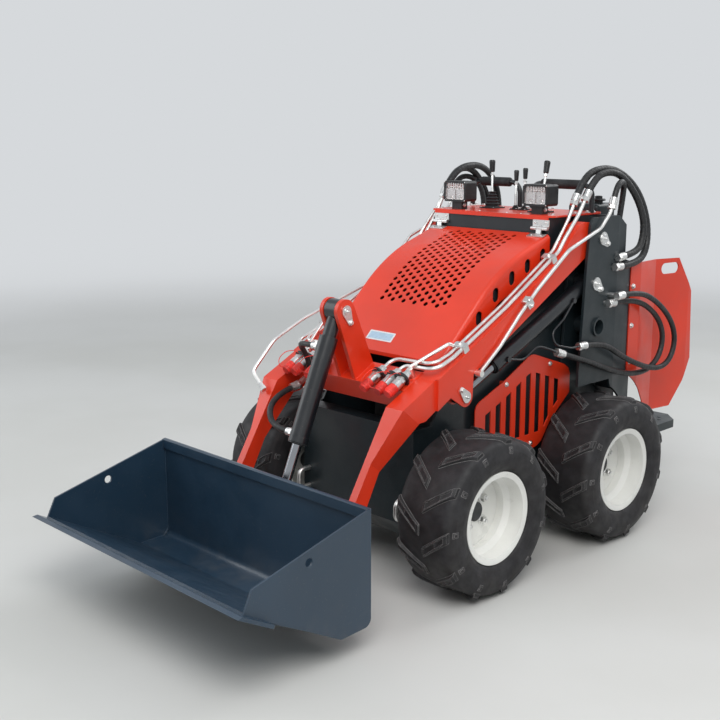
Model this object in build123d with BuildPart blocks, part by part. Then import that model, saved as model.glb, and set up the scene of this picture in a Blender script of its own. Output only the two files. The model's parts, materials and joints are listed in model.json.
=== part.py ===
from build123d import *
import os
from math import acos, atan, atan2, cos, degrees, hypot, radians, sin, sqrt, tan

os.makedirs("parts", exist_ok=True)

# A compact stand-on skid steer loader with a bucket, in millimetres.
# X points to the machine's left, Y to its back and Z up. Side views are drawn as (Y, Z).

# General allowances
play = 0.05          # radial clearance of a pin in its bore
seat_gap = 0.3       # between a piece and what it sits on, where they don't touch
bore_reach = 120.0   # length that carries a bore through every plate beside it

# Half the frame's width: everything beside the frame is placed from it
frame_half_width = 246.0

# Wheels and tyres
tyre_radius = 248.0
tyre_width = 220.0
lug_height = 9.0
lug_depth = 26.0
lug_count = 11
wheel_centre_x = frame_half_width + 145.0
wheelbase = 674.0
axle_mid_y = 125.0
rim_flange_radius = 141.0
bead_radius = 127.0
rim_half_width = 93.0
rim_flange = 7.0
rim_sheet = 4.0
rim_well_radius = 112.0
disc_sheet = 6.0
disc_offset = -6.0
hub_bore_radius = 30.0
hub_radius = 62.0
hub_length = 24.0
stud_circle_radius = 50.8
stud_hole_radius = 7.0
stud_count = 4
motor_radius = 52.0
motor_length = 62.0

# Frame tub, made of sheet
frame_sheet = 8.0
frame_front_y = -325.0
frame_rear_y = 735.0
frame_bottom_z = 115.0
frame_top_z = 488.0
frame_nose_drop = 70.0
bay_front_y = -205.0
hood_overlap = 45.0
engine_size = (380.0, 400.0, 430.0)
engine_mid_y = 150.0

# Hood
hood_half_width = frame_half_width + 12.0
hood_sheet = 4.0
hood_front = (-222.0, 682.0)
hood_knee = (55.0, 945.5)
hood_rear = (312.0, 1034.0)
hood_knee_radius = 600.0
hood_edge_radius = 16.0
hood_flange = 92.0
hood_lip = 12.0
hood_chin = 30.0
hood_slot_count = 5
hood_slot_width = 30.0
hood_slot_height = 46.0
hood_slot_pitch = 80.0
hood_slot_drop = 32.0
hood_hinge = (308.0, 1051.0)
hinge_x = hood_half_width - 41.0
hinge_width = 66.0
hinge_barrel = 6.0
hinge_leaf = 3.0
hinge_leaf_reach = 24.0
vent_pitch = 28.0
vent_radius = 9.0
vent_rows = 15
vent_columns = 12
vent_front_y = -92.0
vent_back_y = 270.0

# Console behind the hood
console_half_width = frame_half_width + 19.0
console_front_y = 318.0
console_rear_y = 600.0
console_body_half_width = frame_half_width + 2.0
console_bottom_z = 900.0
console_top_z = 1087.0
console_deck_z = 950.0
console_sheet = 6.0
tank_half_depth = 58.0
tank_x = 180.0
tank_y = 662.0
tank_half_width = 62.0
tank_top_z = 1118.0

# Towers
tower_inner_x = frame_half_width + 8.0
tower_plate = 10.0
tower_outer_x = tower_inner_x + 72.0
tower_front_y = 391.0
tower_top_z = 1085.0
tower_bend_y = 598.0
tower_rear_y = 725.0
tower_web_y = 612.0
tower_bend_in = 14.0

# Boom pivot and lift cylinder pins, as (Y, Z)
boom_pivot = (502.0, 1013.5)
lift_base = (472.0, 863.0)
lift_eye = (-175.0, 581.0)
pivot_pin_radius = 17.5
lift_pin_radius = 12.5
keeper_sheet = 5.0
keeper_radius = 22.0
keeper_tail = 36.0
keeper_tail_angle = -38.0

# Lift arms
arm_inner_x = tower_inner_x + tower_plate + 9.0
arm_outer_x = arm_inner_x + 48.0
elbow_inner_x = arm_inner_x - 30.0
elbow_outer_x = arm_outer_x - 10.0
arm_top = [(-387.0, 609.0), (34.0, 820.0), (300.0, 972.0), (335.0, 1015.0), (385.0, 1062.0), (415.0, 1072.0)]
arm_end_radius = 50.0
arm_low_rear = (433.0, 957.0)
arm_low_mid = (-112.0, 661.0)
beam_front_y = -300.0
elbow_rear_y = -262.0
elbow_corner = (-440.0, 583.0)
elbow_crotch = (-370.0, 533.0)
leg_kink_rear = (-495.0, 403.0)
leg_kink = (-515.0, 425.0)
leg_sheet = 27.0
leg_end_radius = 32.0
pivot_boss_radius = 32.0
pivot_boss_gap = 2.0
bucket_pivot = (-670.0, 140.0)
bucket_pin_radius = 12.5
lug_radius = 31.0
lug_inner = (arm_inner_x - 9.0, arm_inner_x + 2.0)
lug_outer = (arm_outer_x - 8.0, arm_outer_x)
cylinder_x = arm_inner_x + 22.0

# Lift cylinders
lift_barrel_radius = 25.0
lift_barrel_length = 540.0
lift_bore_radius = 20.0
lift_rod_radius = 15.0
lift_eye_width = 28.0
lift_eye_radius = 26.0
lift_base_width = 58.0
rod_play = 0.05
gland_length = 16.0
piston_length = 30.0

# Tilt cylinder, from the clevis on the cross member to the bucket's mounting plate
tilt_base = (-404.0, 835.0)
tilt_eye = (-645.0, 270.0)
tilt_barrel_radius = 29.0
tilt_barrel_start = 86.0
tilt_barrel_length = 420.0
tilt_bore_radius = 24.0
tilt_rod_radius = 15.0
tilt_eye_width = 44.0
tilt_eye_radius = 34.0
tilt_pin_radius = 12.5
ear_sheet = 14.0
ear_gap = 3.0
ear_radius = 36.0

# Cross member between the arms
cross_top_front = (-366.0, 617.0)
cross_top_rear = (-284.0, 662.0)
cross_drop = 74.0
cross_wall = 10.0

# Couplers on the cross member: their places along X, and heights over the top plate
coupler_xs = (125.0, 186.0, 226.0)
coupler_height = 22.0
coupler_radius = 13.0
coupler_end = 42.0
coupler_front = -14.0
cap_radius = 16.5
cap_length = 34.0
bracket_sheet = 6.0
bracket_height = 44.0

# Bucket
bucket_half_width = 466.0
bucket_sheet = 6.0
bucket_front_low = (-1149.0, 242.0)
bucket_front_high = (-1121.0, 299.0)
bucket_back_high = (-722.0, 403.0)
bucket_back_low = (-722.0, 76.0)
bucket_floor_back = (-831.0, 71.0)
bucket_bend_radius = 24.0
bucket_hole = (-940.0, 315.0)
bucket_hole_radius = 12.0
edge_half_width = 488.0
edge_length = 395.0
edge_depth = 90.0
edge_sheet = 10.0
lip_height = 30.0
lip_sheet = 8.0
mount_plate_y = bucket_back_high[0]
mount_plate_sheet = 10.0
mount_half_width = 300.0
mount_bottom_z = 96.0
mount_top_z = 372.0
mount_ear = 12.0
mount_ear_radius = 28.0
mount_ear_gap = 2.0

# Small pieces on the console
lamp_x = 175.0
lamp_half_width = 50.0
lamp_y = (333.0, 396.0)
lamp_z = (1120.0, 1192.0)
lamp_recess = 8.0
lamp_bezel = 7.0
lever_radius = 6.0
lever_knob_low = 1220.0
rail_spans = ((-262.0, -43.0), (10.0, 261.0))
rail_y = 540.0
rail_z = 1185.0
rail_radius = 9.0
rail_pad_radius = 17.0

# Tower plates' outline, with their cross tube and the feet that stand them off the frame
tower_outline = [
    (391.0, 520.0),
    (391.0, 572.0),
    (401.0, 680.0),
    (417.0, 941.0),
    (431.0, 1062.0),
    (445.0, 1085.0),
    (600.0, 1085.0),
    (655.0, 1050.0),
    (655.0, 930.0),
    (725.0, 915.0),
    (725.0, 321.0),
    (640.0, 400.0),
    (590.0, 480.0),
    (575.0, 520.0),
]
tower_tube = (490.0, 714.0)
tower_tube_radius = 25.0
tower_tube_wall = 7.0
tower_tube_proud = 8.0
tower_feet = ((430.0, 560.0), (440.0, 850.0), (560.0, 570.0), (580.0, 850.0), (690.0, 620.0))

# Side grilles between the wheels
grille_inner_x = frame_half_width + 19.0
grille_sheet = 4.0
grille_top = [(-86.0, 511.0), (-62.0, 532.0), (182.0, 653.0), (220.0, 651.0), (392.0, 592.0), (416.0, 567.0)]
grille_low = [(422.0, 482.0), (264.0, 350.0), (221.0, 324.0)]
grille_floor = [(-86.0, 511.0), (221.0, 324.0), (264.0, 350.0), (422.0, 482.0)]
grille_stand_offs = ((-40.0, 508.0), (200.0, 632.0), (368.0, 560.0), (225.0, 346.0))
grille_slot_width = 25.0
grille_slot_pitch = 53.0
grille_slot_count = 8
grille_first_slot_y = -5.0
grille_margin = 32.0

# Rear shields and standing platform
shield_sheet = 4.0
shield_side_x = frame_half_width + 79.0
shield_waist_x = frame_half_width + 54.0
shield_rear_x = frame_half_width + 84.0
shield_plan = [
    (shield_side_x, 700.0),
    (shield_side_x, 765.0),
    (shield_waist_x, 905.0),
    (shield_rear_x, 1100.0),
    (shield_rear_x, 1140.0),
]
shield_outline = [
    (700.0, 913.0),
    (1035.0, 905.0),
    (1118.0, 775.0),
    (1135.0, 515.0),
    (1090.0, 430.0),
    (1020.0, 343.0),
    (860.0, 343.0),
    (830.0, 397.0),
    (792.0, 447.0),
    (747.0, 487.0),
    (700.0, 520.0),
]
shield_handle = (985.0, 870.0)
shield_handle_length = 96.0
shield_handle_height = 40.0
platform_half_width = frame_half_width + 44.0
platform_front_y = 745.0
platform_rear_y = 1182.0
platform_top_z = 262.0
platform_sheet = 6.0
platform_lip = 30.0
platform_corner = 60.0

# Tie-down staples
hook_x = frame_half_width - 26.0
hook_z = (212.0, 273.0)
hook_reach = 46.0
hook_radius = 8.0

# Hoses and pipes
pipe_radius = 6.0
pipe_lift = 14.0
pipe_xs = (arm_inner_x + 13.0, arm_inner_x + 36.0)
pipe_tops = [(372.0, 1084.0), (395.0, 1096.0)]
pipe_seat = 12.0
side_pipe_x = arm_outer_x + 11.0
side_route = [
    (side_pipe_x, -128.0, 648.0),
    (side_pipe_x, -32.0, 717.0),
    (side_pipe_x, 63.0, 805.0),
    (side_pipe_x, 147.0, 872.0),
    (side_pipe_x + 17.0, 290.0, 990.0),
    (side_pipe_x + 17.0, 468.0, 1050.0),
    (side_pipe_x + 21.0, 515.0, 1100.0),
]
clamp_ys = (-170.0, 262.0)
side_clamp = (105.0, 838.5)
side_clamp_size = (30.0, 34.0)
lift_pipe_radius = 3.5
lift_pipe_x = cylinder_x + 29.0
lift_pipe_rear = [
    (lift_pipe_x, 366.0, 816.0),
    (lift_pipe_x + 1.0, 310.0, 762.0),
    (lift_pipe_x + 1.0, 246.0, 724.0),
    (lift_pipe_x + 12.0, 250.0, 684.0),
    (lift_pipe_x + 28.0, 316.0, 667.0),
]
lift_pipe_front = [
    (lift_pipe_x, 24.0, 668.0),
    (lift_pipe_x, 100.0, 655.0),
    (lift_pipe_x + 2.0, 170.0, 692.0),
    (lift_pipe_x + 21.0, 215.0, 675.0),
]
tilt_port_high = 120.0
tilt_port_low = 392.0
tilt_mouth_x = -55.0
tilt_fitting_drops = (34.7, 40.7)
hose_radius = 8.5
sleeve_radius = 11.0
sleeve_length = 26.0

axle_z = tyre_radius
axle_ys = {"front": axle_mid_y - wheelbase / 2, "rear": axle_mid_y + wheelbase / 2}
wheel_names = ("front", "rear")


def finish(piece, name):
    """Label a finished piece and write its file."""
    piece.part.label = name
    export_step(piece.part, "parts/" + name + ".step")


def side_plate(points, x_from, thickness, mode=Mode.ADD, corner=0.0):
    """Plate with a side-view outline of (Y, Z) points, from x_from towards +X."""
    with BuildSketch(Plane.YZ.offset(x_from)) as outline:
        with BuildLine():
            Polyline(*points, close=True)
        make_face()
        if corner:
            fillet(outline.vertices(), corner)
    extrude(outline.sketch, amount=thickness, mode=mode)


def side_disc(centre, radius, x_from, thickness, mode=Mode.ADD):
    """Round bar or bore along X, centred at (Y, Z)."""
    with BuildSketch(Plane.YZ.offset(x_from)) as outline:
        with Locations(centre):
            Circle(radius)
    extrude(outline.sketch, amount=thickness, mode=mode)


def bar(start, end, radius, mode=Mode.ADD):
    """Round bar from one point to another."""
    line = Vector(*end) - Vector(*start)
    with BuildSketch(Plane(origin=start, z_dir=line.normalized())) as outline:
        Circle(radius)
    extrude(outline.sketch, amount=line.length, mode=mode)


def block(x_range, y_range, z_range, mode=Mode.ADD):
    """Plain block given by its limits."""
    with BuildSketch(Plane.XY.offset(z_range[0])) as outline:
        with Locations(((x_range[0] + x_range[1]) / 2, (y_range[0] + y_range[1]) / 2)):
            Rectangle(x_range[1] - x_range[0], y_range[1] - y_range[0])
    extrude(outline.sketch, amount=z_range[1] - z_range[0], mode=mode)


def bend_radii(points, largest):
    """Bend radius at each inner point: as large as its two runs allow, up to a limit."""
    radii = []
    for before, here, after in zip(points, points[1:], points[2:]):
        run_in = Vector(*here) - Vector(*before)
        run_out = Vector(*after) - Vector(*here)
        turn = radians(run_in.get_angle(run_out))
        shorter = min(run_in.length, run_out.length)
        radii.append(min(largest, 0.45 * shorter / tan(turn / 2)))
    return radii


def tube(points, radius, bend=1000.0):
    """Round tube along straight runs joined by tangent arcs."""
    radii = bend_radii(points, bend)
    with BuildLine() as path:
        FilletPolyline(*points, radius=radii)
    with BuildSketch(Plane(origin=path.line @ 0, z_dir=path.line % 0)) as section:
        Circle(radius)
    sweep(section.sketch, path=path.line)
    return radii


def flipped(points):
    """The same route on the machine's right."""
    return [(-x, y, z) for x, y, z in points]


def polar(centre, radius, angle):
    """Point at an angle in degrees round a side-view centre."""
    return (centre[0] + radius * cos(radians(angle)), centre[1] + radius * sin(radians(angle)))


def along(start, end, distance):
    """Side-view point at a distance from start towards end."""
    length = hypot(end[0] - start[0], end[1] - start[1])
    share = distance / length
    return (start[0] + (end[0] - start[0]) * share, start[1] + (end[1] - start[1]) * share)


def offset_path(points, distance):
    """Open line moved to its left by a distance, with mitred corners."""
    units = []
    for start, end in zip(points, points[1:]):
        length = hypot(end[0] - start[0], end[1] - start[1])
        units.append(((end[0] - start[0]) / length, (end[1] - start[1]) / length))
    moved = []
    for index, here in enumerate(points):
        before = units[max(index - 1, 0)]
        after = units[min(index, len(units) - 1)]
        share = distance / (1 + before[0] * after[0] + before[1] * after[1])
        moved.append((here[0] - (before[1] + after[1]) * share, here[1] + (before[0] + after[0]) * share))
    return moved


def touch_point(foot, centre, radius, other):
    """Where a straight edge from a foot touches a circle, on the side away from another point."""
    reach = hypot(foot[0] - centre[0], foot[1] - centre[1])
    heading = degrees(atan2(foot[1] - centre[1], foot[0] - centre[0]))
    spread = degrees(acos(radius / reach))
    choices = (polar(centre, radius, heading + spread), polar(centre, radius, heading - spread))
    return max(choices, key=lambda spot: hypot(spot[0] - other[0], spot[1] - other[1]))


def side_ear(centre, radius, feet, x_from, thickness, mode=Mode.ADD):
    """Plate round a pin centre, with straight edges down to two feet."""
    with BuildSketch(Plane.YZ.offset(x_from)) as outline:
        with BuildLine():
            Polyline(
                feet[0],
                touch_point(feet[0], centre, radius, feet[1]),
                centre,
                touch_point(feet[1], centre, radius, feet[0]),
                feet[1],
                close=True,
            )
        make_face()
        with Locations(centre):
            Circle(radius)
    extrude(outline.sketch, amount=thickness, mode=mode)


def line_height(points, y):
    """Height of an open side-view line at a given Y."""
    for start, end in zip(points, points[1:]):
        if min(start[0], end[0]) <= y <= max(start[0], end[0]):
            return start[1] + (end[1] - start[1]) * (y - start[0]) / (end[0] - start[0])
    raise ValueError("outside the line")


def between(start, end, distance, x):
    """Point at x and at a distance along a side-view line."""
    return (x, *along(start, end, distance))


def sleeve_root(route, distance):
    """Point at a distance inside the sleeve that a hose route starts from."""
    return tuple(Vector(*route[0]) - (Vector(*route[1]) - Vector(*route[0])).normalized() * distance)


def sleeve_on(route):
    """Round hose end that a hose route starts from, square on its first run."""
    bar(sleeve_root(route, sleeve_length), route[0], sleeve_radius)


# Hose routes, from their fittings on the moving side to the ports on the towers
hose_table = {
    "hose_upper": [
        (286.0, 410.0, 1149.0),
        (286.0, 440.0, 1200.0),
        (285.0, 510.0, 1258.0),
        (292.0, 630.0, 1258.0),
        (312.0, 740.0, 1180.0),
        (330.0, 790.0, 1060.0),
        (342.0, 772.0, 955.0),
        (348.0, 700.0, 912.0),
        (348.0, 590.0, 912.0),
    ],
    "hose_middle": [
        (309.0, 441.0, 1161.0),
        (309.0, 463.0, 1191.0),
        (312.0, 515.0, 1230.0),
        (322.0, 605.0, 1228.0),
        (333.0, 690.0, 1160.0),
        (341.0, 742.0, 1075.0),
        (344.0, 742.0, 1000.0),
        (348.0, 700.0, 951.0),
        (348.0, 605.0, 945.0),
    ],
    "hose_inner": [
        (354.0, 528.0, 1136.0),
        (353.0, 541.0, 1171.0),
        (346.0, 577.0, 1200.0),
        (330.0, 626.0, 1192.0),
        (311.0, 652.0, 1150.0),
        (301.0, 655.0, 1085.0),
        (297.0, 644.0, 1000.0),
        (297.0, 640.0, 900.0),
    ],
    "hose_lift_rear": [
        (354.0, 384.0, 666.0),
        (360.0, 490.0, 664.0),
        (370.0, 600.0, 600.0),
        (374.0, 735.0, 545.0),
        (374.0, 850.0, 520.0),
        (374.0, 925.0, 548.0),
        (374.0, 950.0, 625.0),
        (374.0, 900.0, 705.0),
        (374.0, 795.0, 778.0),
        (374.0, 685.0, 818.0),
        (374.0, 569.0, 818.0),
    ],
    "hose_lift_front": [
        (354.0, 260.0, 657.0),
        (354.0, 410.0, 610.0),
        (354.0, 550.0, 558.0),
        (354.0, 680.0, 522.0),
        (354.0, 785.0, 520.0),
        (354.0, 858.0, 560.0),
        (354.0, 878.0, 635.0),
        (354.0, 835.0, 705.0),
        (354.0, 745.0, 765.0),
        (354.0, 650.0, 792.0),
        (354.0, 549.0, 792.0),
    ],
}
tower_routes = [
    hose_table[hose_name][::-1]
    for hose_name in ("hose_upper", "hose_middle", "hose_lift_rear", "hose_lift_front", "hose_inner")
]
tilt_high = between(tilt_base, tilt_eye, tilt_port_high, tilt_mouth_x)
tilt_low = between(tilt_base, tilt_eye, tilt_port_low, tilt_mouth_x)
tilt_hose_table = {
    "hose_tilt_upper": [
        (-156.0, -372.0, 592.0),
        (-156.0, -378.0, 650.0),
        (-152.0, -418.0, 706.0),
        (-110.0, tilt_high[1], tilt_high[2]),
        tilt_high,
    ],
    "hose_tilt_lower": [
        (-213.0, -396.0, 560.0),
        (-213.0, -455.0, 548.0),
        (-190.0, -522.0, 515.0),
        (-125.0, tilt_low[1], tilt_low[2]),
        tilt_low,
    ],
}
tilt_boom_routes = list(tilt_hose_table.values())


# Tyre, built round Z and laid on each axle
bead_half = rim_half_width - rim_flange - seat_gap
tread_radius = tyre_radius - lug_height
half_width = tyre_width / 2
lug_far = 42.0
lug_face_radius = sqrt(tyre_radius**2 - lug_far**2)
with BuildPart() as lug_pair:
    for flank in (1, -1):
        lead = 0.0 if flank == 1 else 180.0 / lug_count
        turned = Plane.XY.rotated((0, 0, lead))
        lug_plane = Plane(origin=turned.x_dir * lug_face_radius, x_dir=turned.y_dir, z_dir=turned.x_dir)
        with BuildSketch(lug_plane) as lug_outline:
            with BuildLine():
                Polyline(
                    (-14, 4 * flank),
                    (14, 4 * flank),
                    (34, 0.55 * half_width * flank),
                    (lug_far, 0.96 * half_width * flank),
                    (16, 0.96 * half_width * flank),
                    (8, 0.55 * half_width * flank),
                    close=True,
                )
            make_face()
        extrude(lug_outline.sketch, amount=-lug_depth)

with BuildPart() as tyre_blank:
    with BuildSketch(Plane.XZ):
        with BuildLine():
            ThreePointArc(
                (tread_radius - 5, -0.86 * half_width),
                (tread_radius, 0),
                (tread_radius - 5, 0.86 * half_width),
            )
            ThreePointArc(
                (tread_radius - 5, 0.86 * half_width),
                (0.76 * tyre_radius, half_width),
                (rim_flange_radius + 8, 0.9 * half_width),
            )
            Polyline(
                (rim_flange_radius + 8, 0.9 * half_width),
                (rim_flange_radius + seat_gap, bead_half),
                (bead_radius + seat_gap, bead_half),
                (bead_radius + seat_gap, -bead_half),
                (rim_flange_radius + seat_gap, -bead_half),
                (rim_flange_radius + 8, -0.9 * half_width),
            )
            ThreePointArc(
                (rim_flange_radius + 8, -0.9 * half_width),
                (0.76 * tyre_radius, -half_width),
                (tread_radius - 5, -0.86 * half_width),
            )
        make_face()
    revolve(axis=Axis.Z)
    with PolarLocations(0, lug_count):
        add(lug_pair.part)

# Rim with a deep dish, round Z: outer face towards +Z
with BuildPart() as rim_blank:
    with BuildSketch(Plane.XZ):
        with BuildLine():
            Polyline(
                (rim_flange_radius, rim_half_width),
                (rim_flange_radius, rim_half_width - rim_flange),
                (bead_radius, rim_half_width - rim_flange),
                (bead_radius, 40),
                (rim_well_radius, 25),
                (rim_well_radius, -30),
                (bead_radius, -45),
                (bead_radius, rim_flange - rim_half_width),
                (rim_flange_radius, rim_flange - rim_half_width),
                (rim_flange_radius, -rim_half_width),
                (rim_flange_radius - rim_sheet, -rim_half_width),
                (bead_radius - rim_sheet, rim_flange - rim_half_width - rim_sheet),
                (bead_radius - rim_sheet, -45 - rim_sheet / 2),
                (rim_well_radius - rim_sheet, -30 - rim_sheet / 2),
                (rim_well_radius - rim_sheet, 25 + rim_sheet / 2),
                (bead_radius - rim_sheet, 40 + rim_sheet / 2),
                (bead_radius - rim_sheet, rim_half_width - rim_flange + rim_sheet),
                (rim_flange_radius - rim_sheet, rim_half_width),
                close=True,
            )
        make_face()
    revolve(axis=Axis.Z)
    with BuildSketch(Plane.XY.offset(disc_offset)):
        Circle(rim_well_radius - rim_sheet / 2)
    extrude(amount=disc_sheet)
    with BuildSketch(Plane.XY.offset(disc_offset)):
        Circle(hub_radius)
    extrude(amount=-hub_length)
    with BuildSketch(Plane.XY.offset(disc_offset + disc_sheet)):
        Circle(hub_bore_radius)
        with PolarLocations(stud_circle_radius, stud_count, start_angle=45):
            Circle(stud_hole_radius)
    extrude(amount=-(disc_sheet + hub_length), mode=Mode.SUBTRACT)

for end in wheel_names:
    wheel_plane = Plane(origin=(wheel_centre_x, axle_ys[end], axle_z), x_dir=(0, 1, 0), z_dir=(1, 0, 0))
    with BuildPart(wheel_plane) as tyre_left:
        add(tyre_blank.part)
    finish(tyre_left, "tyre_" + end + "_left")
    with BuildPart() as tyre_right:
        mirror(tyre_left.part, about=Plane.YZ)
    finish(tyre_right, "tyre_" + end + "_right")
    with BuildPart(wheel_plane) as rim_left:
        add(rim_blank.part)
    finish(rim_left, "rim_" + end + "_left")
    with BuildPart() as rim_right:
        mirror(rim_left.part, about=Plane.YZ)
    finish(rim_right, "rim_" + end + "_right")

# Wheel motors with their output spindles, one at each wheel
spindle_end_x = wheel_centre_x + disc_offset + disc_sheet + 8
with BuildPart() as axle_housings:
    for end in wheel_names:
        here = (axle_ys[end], axle_z)
        side_disc(here, motor_radius, frame_half_width, motor_length)
        side_disc(here, hub_bore_radius - play, frame_half_width, spindle_end_x - frame_half_width)
        side_disc(here, hub_bore_radius + 12, frame_half_width, motor_length + 18)
    mirror(about=Plane.YZ)
finish(axle_housings, "axle_housings")

# Frame tub with engine bay walls
hood_slope = (hood_rear[1] - hood_knee[1]) / (hood_rear[0] - hood_knee[0])
hood_front_slope = (hood_knee[1] - hood_front[1]) / (hood_knee[0] - hood_front[0])
wall_drop = hood_flange - hood_overlap
bay_front_z = hood_front[1] + (bay_front_y - hood_front[0]) * hood_front_slope - wall_drop
bay_rear_z = hood_rear[1] - wall_drop
tub_profile = [
    (frame_front_y, frame_top_z),
    (frame_front_y, frame_bottom_z + frame_nose_drop),
    (frame_front_y + frame_nose_drop, frame_bottom_z),
    (frame_rear_y, frame_bottom_z),
    (frame_rear_y, frame_top_z),
]
wall_profile = [
    (frame_front_y, frame_top_z),
    (frame_front_y, frame_bottom_z + frame_nose_drop),
    (frame_front_y + frame_nose_drop, frame_bottom_z),
    (frame_rear_y, frame_bottom_z),
    (frame_rear_y, console_bottom_z),
    (console_front_y, console_bottom_z),
    (console_front_y, bay_rear_z),
    (hood_knee[0], hood_knee[1] - wall_drop),
    (bay_front_y, bay_front_z),
    (bay_front_y, frame_top_z + 60),
    (bay_front_y - 40, frame_top_z),
]
with BuildPart() as chassis:
    side_plate(tub_profile, -frame_half_width, 2 * frame_half_width)
    inside = 2 * (frame_half_width - frame_sheet)
    tub_hollow = [
        (frame_front_y + frame_sheet, frame_top_z + 1),
        (frame_front_y + frame_sheet, frame_bottom_z + frame_nose_drop + frame_sheet / 2),
        (frame_front_y + frame_nose_drop + frame_sheet / 2, frame_bottom_z + frame_sheet),
        (frame_rear_y - frame_sheet, frame_bottom_z + frame_sheet),
        (frame_rear_y - frame_sheet, frame_top_z + 1),
    ]
    side_plate(tub_hollow, frame_sheet - frame_half_width, inside, mode=Mode.SUBTRACT)
    side_plate(wall_profile, frame_half_width - frame_sheet, frame_sheet)
    side_plate(wall_profile, -frame_half_width, frame_sheet)
    block(
        (-inside / 2, inside / 2),
        (frame_rear_y - frame_sheet, frame_rear_y),
        (frame_top_z - 1, console_bottom_z),
    )
    block(
        (-inside / 2, inside / 2),
        (frame_front_y + frame_sheet - 1, frame_front_y + 60),
        (frame_top_z - frame_sheet, frame_top_z),
    )
finish(chassis, "chassis")

engine_floor_z = frame_bottom_z + frame_sheet
with BuildPart() as engine_block:
    block(
        (-engine_size[0] / 2, engine_size[0] / 2),
        (engine_mid_y - engine_size[1] / 2, engine_mid_y + engine_size[1] / 2),
        (engine_floor_z, engine_floor_z + engine_size[2]),
    )
finish(engine_block, "engine_block")

# Hood: a bent sheet with side flanges, arched side slots and a field of vents
front_angle = atan(hood_front_slope)
rear_angle = atan(hood_slope)
bend_reach = hood_knee_radius * tan((front_angle - rear_angle) / 2)
bend_rear = (hood_knee[0] + bend_reach * cos(rear_angle), hood_knee[1] + bend_reach * sin(rear_angle))
bend_front_y = hood_knee[0] - bend_reach * cos(front_angle)
bend_centre = (
    bend_rear[0] + hood_knee_radius * sin(rear_angle),
    bend_rear[1] - hood_knee_radius * cos(rear_angle),
)


def hood_ridge(y):
    """Height of the hood's top face in the side view."""
    if y < bend_front_y:
        return hood_front[1] + (y - hood_front[0]) * hood_front_slope
    if y > bend_rear[0]:
        return hood_knee[1] + (y - hood_knee[0]) * hood_slope
    return bend_centre[1] + sqrt(hood_knee_radius**2 - (y - bend_centre[0]) ** 2)


def hood_section(drop, front_y, rear_y, low):
    """Side profile of the hood, lowered by a drop, down to the low line."""
    with BuildSketch(Plane.YZ) as section:
        with BuildLine():
            top = FilletPolyline(
                (front_y, hood_front[1] + (front_y - hood_front[0]) * hood_front_slope - drop),
                (hood_knee[0], hood_knee[1] - drop),
                (rear_y, hood_knee[1] + (rear_y - hood_knee[0]) * hood_slope - drop),
                radius=hood_knee_radius,
            )
            Polyline(top @ 1, *low[::-1], top @ 0)
        make_face()
    return section.sketch


flange_low = [
    (hood_front[0], hood_front[1] - hood_lip),
    (hood_front[0] + hood_chin, hood_front[1] - hood_lip),
    (hood_knee[0], hood_knee[1] - hood_flange - 17),
    (hood_rear[0], hood_rear[1] - hood_flange),
]
core_low = [(hood_front[0] + hood_sheet, 0), (hood_rear[0] + 1, 0)]
with BuildPart() as hood_core:
    inner = hood_section(hood_sheet, hood_front[0] + hood_sheet, hood_rear[0] + 1, core_low)
    extrude(inner, amount=hood_half_width - hood_sheet, both=True)
    core_ridges = hood_core.edges().filter_by(
        lambda e: abs(abs(e.center().X) - hood_half_width + hood_sheet) < 0.5
        and abs(e.center().Z - hood_ridge(e.center().Y)) < 3 * hood_sheet
        and e.length > 2 * hood_edge_radius
    )
    fillet(core_ridges, hood_edge_radius - hood_sheet)

vent_mid_y = (vent_front_y + vent_back_y) / 2
vent_rise = hood_ridge(vent_back_y) - hood_ridge(vent_front_y)
vent_tilt = atan2(vent_rise, vent_back_y - vent_front_y)
vent_plane = Plane(
    origin=(0, vent_mid_y, hood_ridge(vent_mid_y)),
    x_dir=(1, 0, 0),
    z_dir=(0, -sin(vent_tilt), cos(vent_tilt)),
)
with BuildPart() as hood:
    outer = hood_section(0, hood_front[0], hood_rear[0], flange_low)
    extrude(outer, amount=hood_half_width, both=True)
    ridges = hood.edges().filter_by(
        lambda e: abs(abs(e.center().X) - hood_half_width) < 0.5
        and abs(e.center().Z - hood_ridge(e.center().Y)) < 2 * hood_sheet
        and e.length > 2 * hood_edge_radius
    )
    fillet(ridges, hood_edge_radius)
    add(hood_core.part, mode=Mode.SUBTRACT)
    with BuildSketch(Plane.YZ.offset(-hood_half_width)) as slots:
        for index in range(hood_slot_count):
            slot_y = hood_rear[0] - 36 - index * hood_slot_pitch
            with Locations((slot_y, hood_ridge(slot_y) - hood_slot_drop - hood_slot_height / 2)):
                SlotOverall(hood_slot_height, hood_slot_width, rotation=90)
    extrude(slots.sketch, amount=2 * hood_half_width, mode=Mode.SUBTRACT)
    with BuildSketch(vent_plane) as vents:
        with HexLocations(vent_pitch / 2, vent_columns, vent_rows):
            RegularPolygon(vent_radius, 6)
    extrude(vents.sketch, amount=50, both=True, mode=Mode.SUBTRACT)
finish(hood, "hood")

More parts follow.
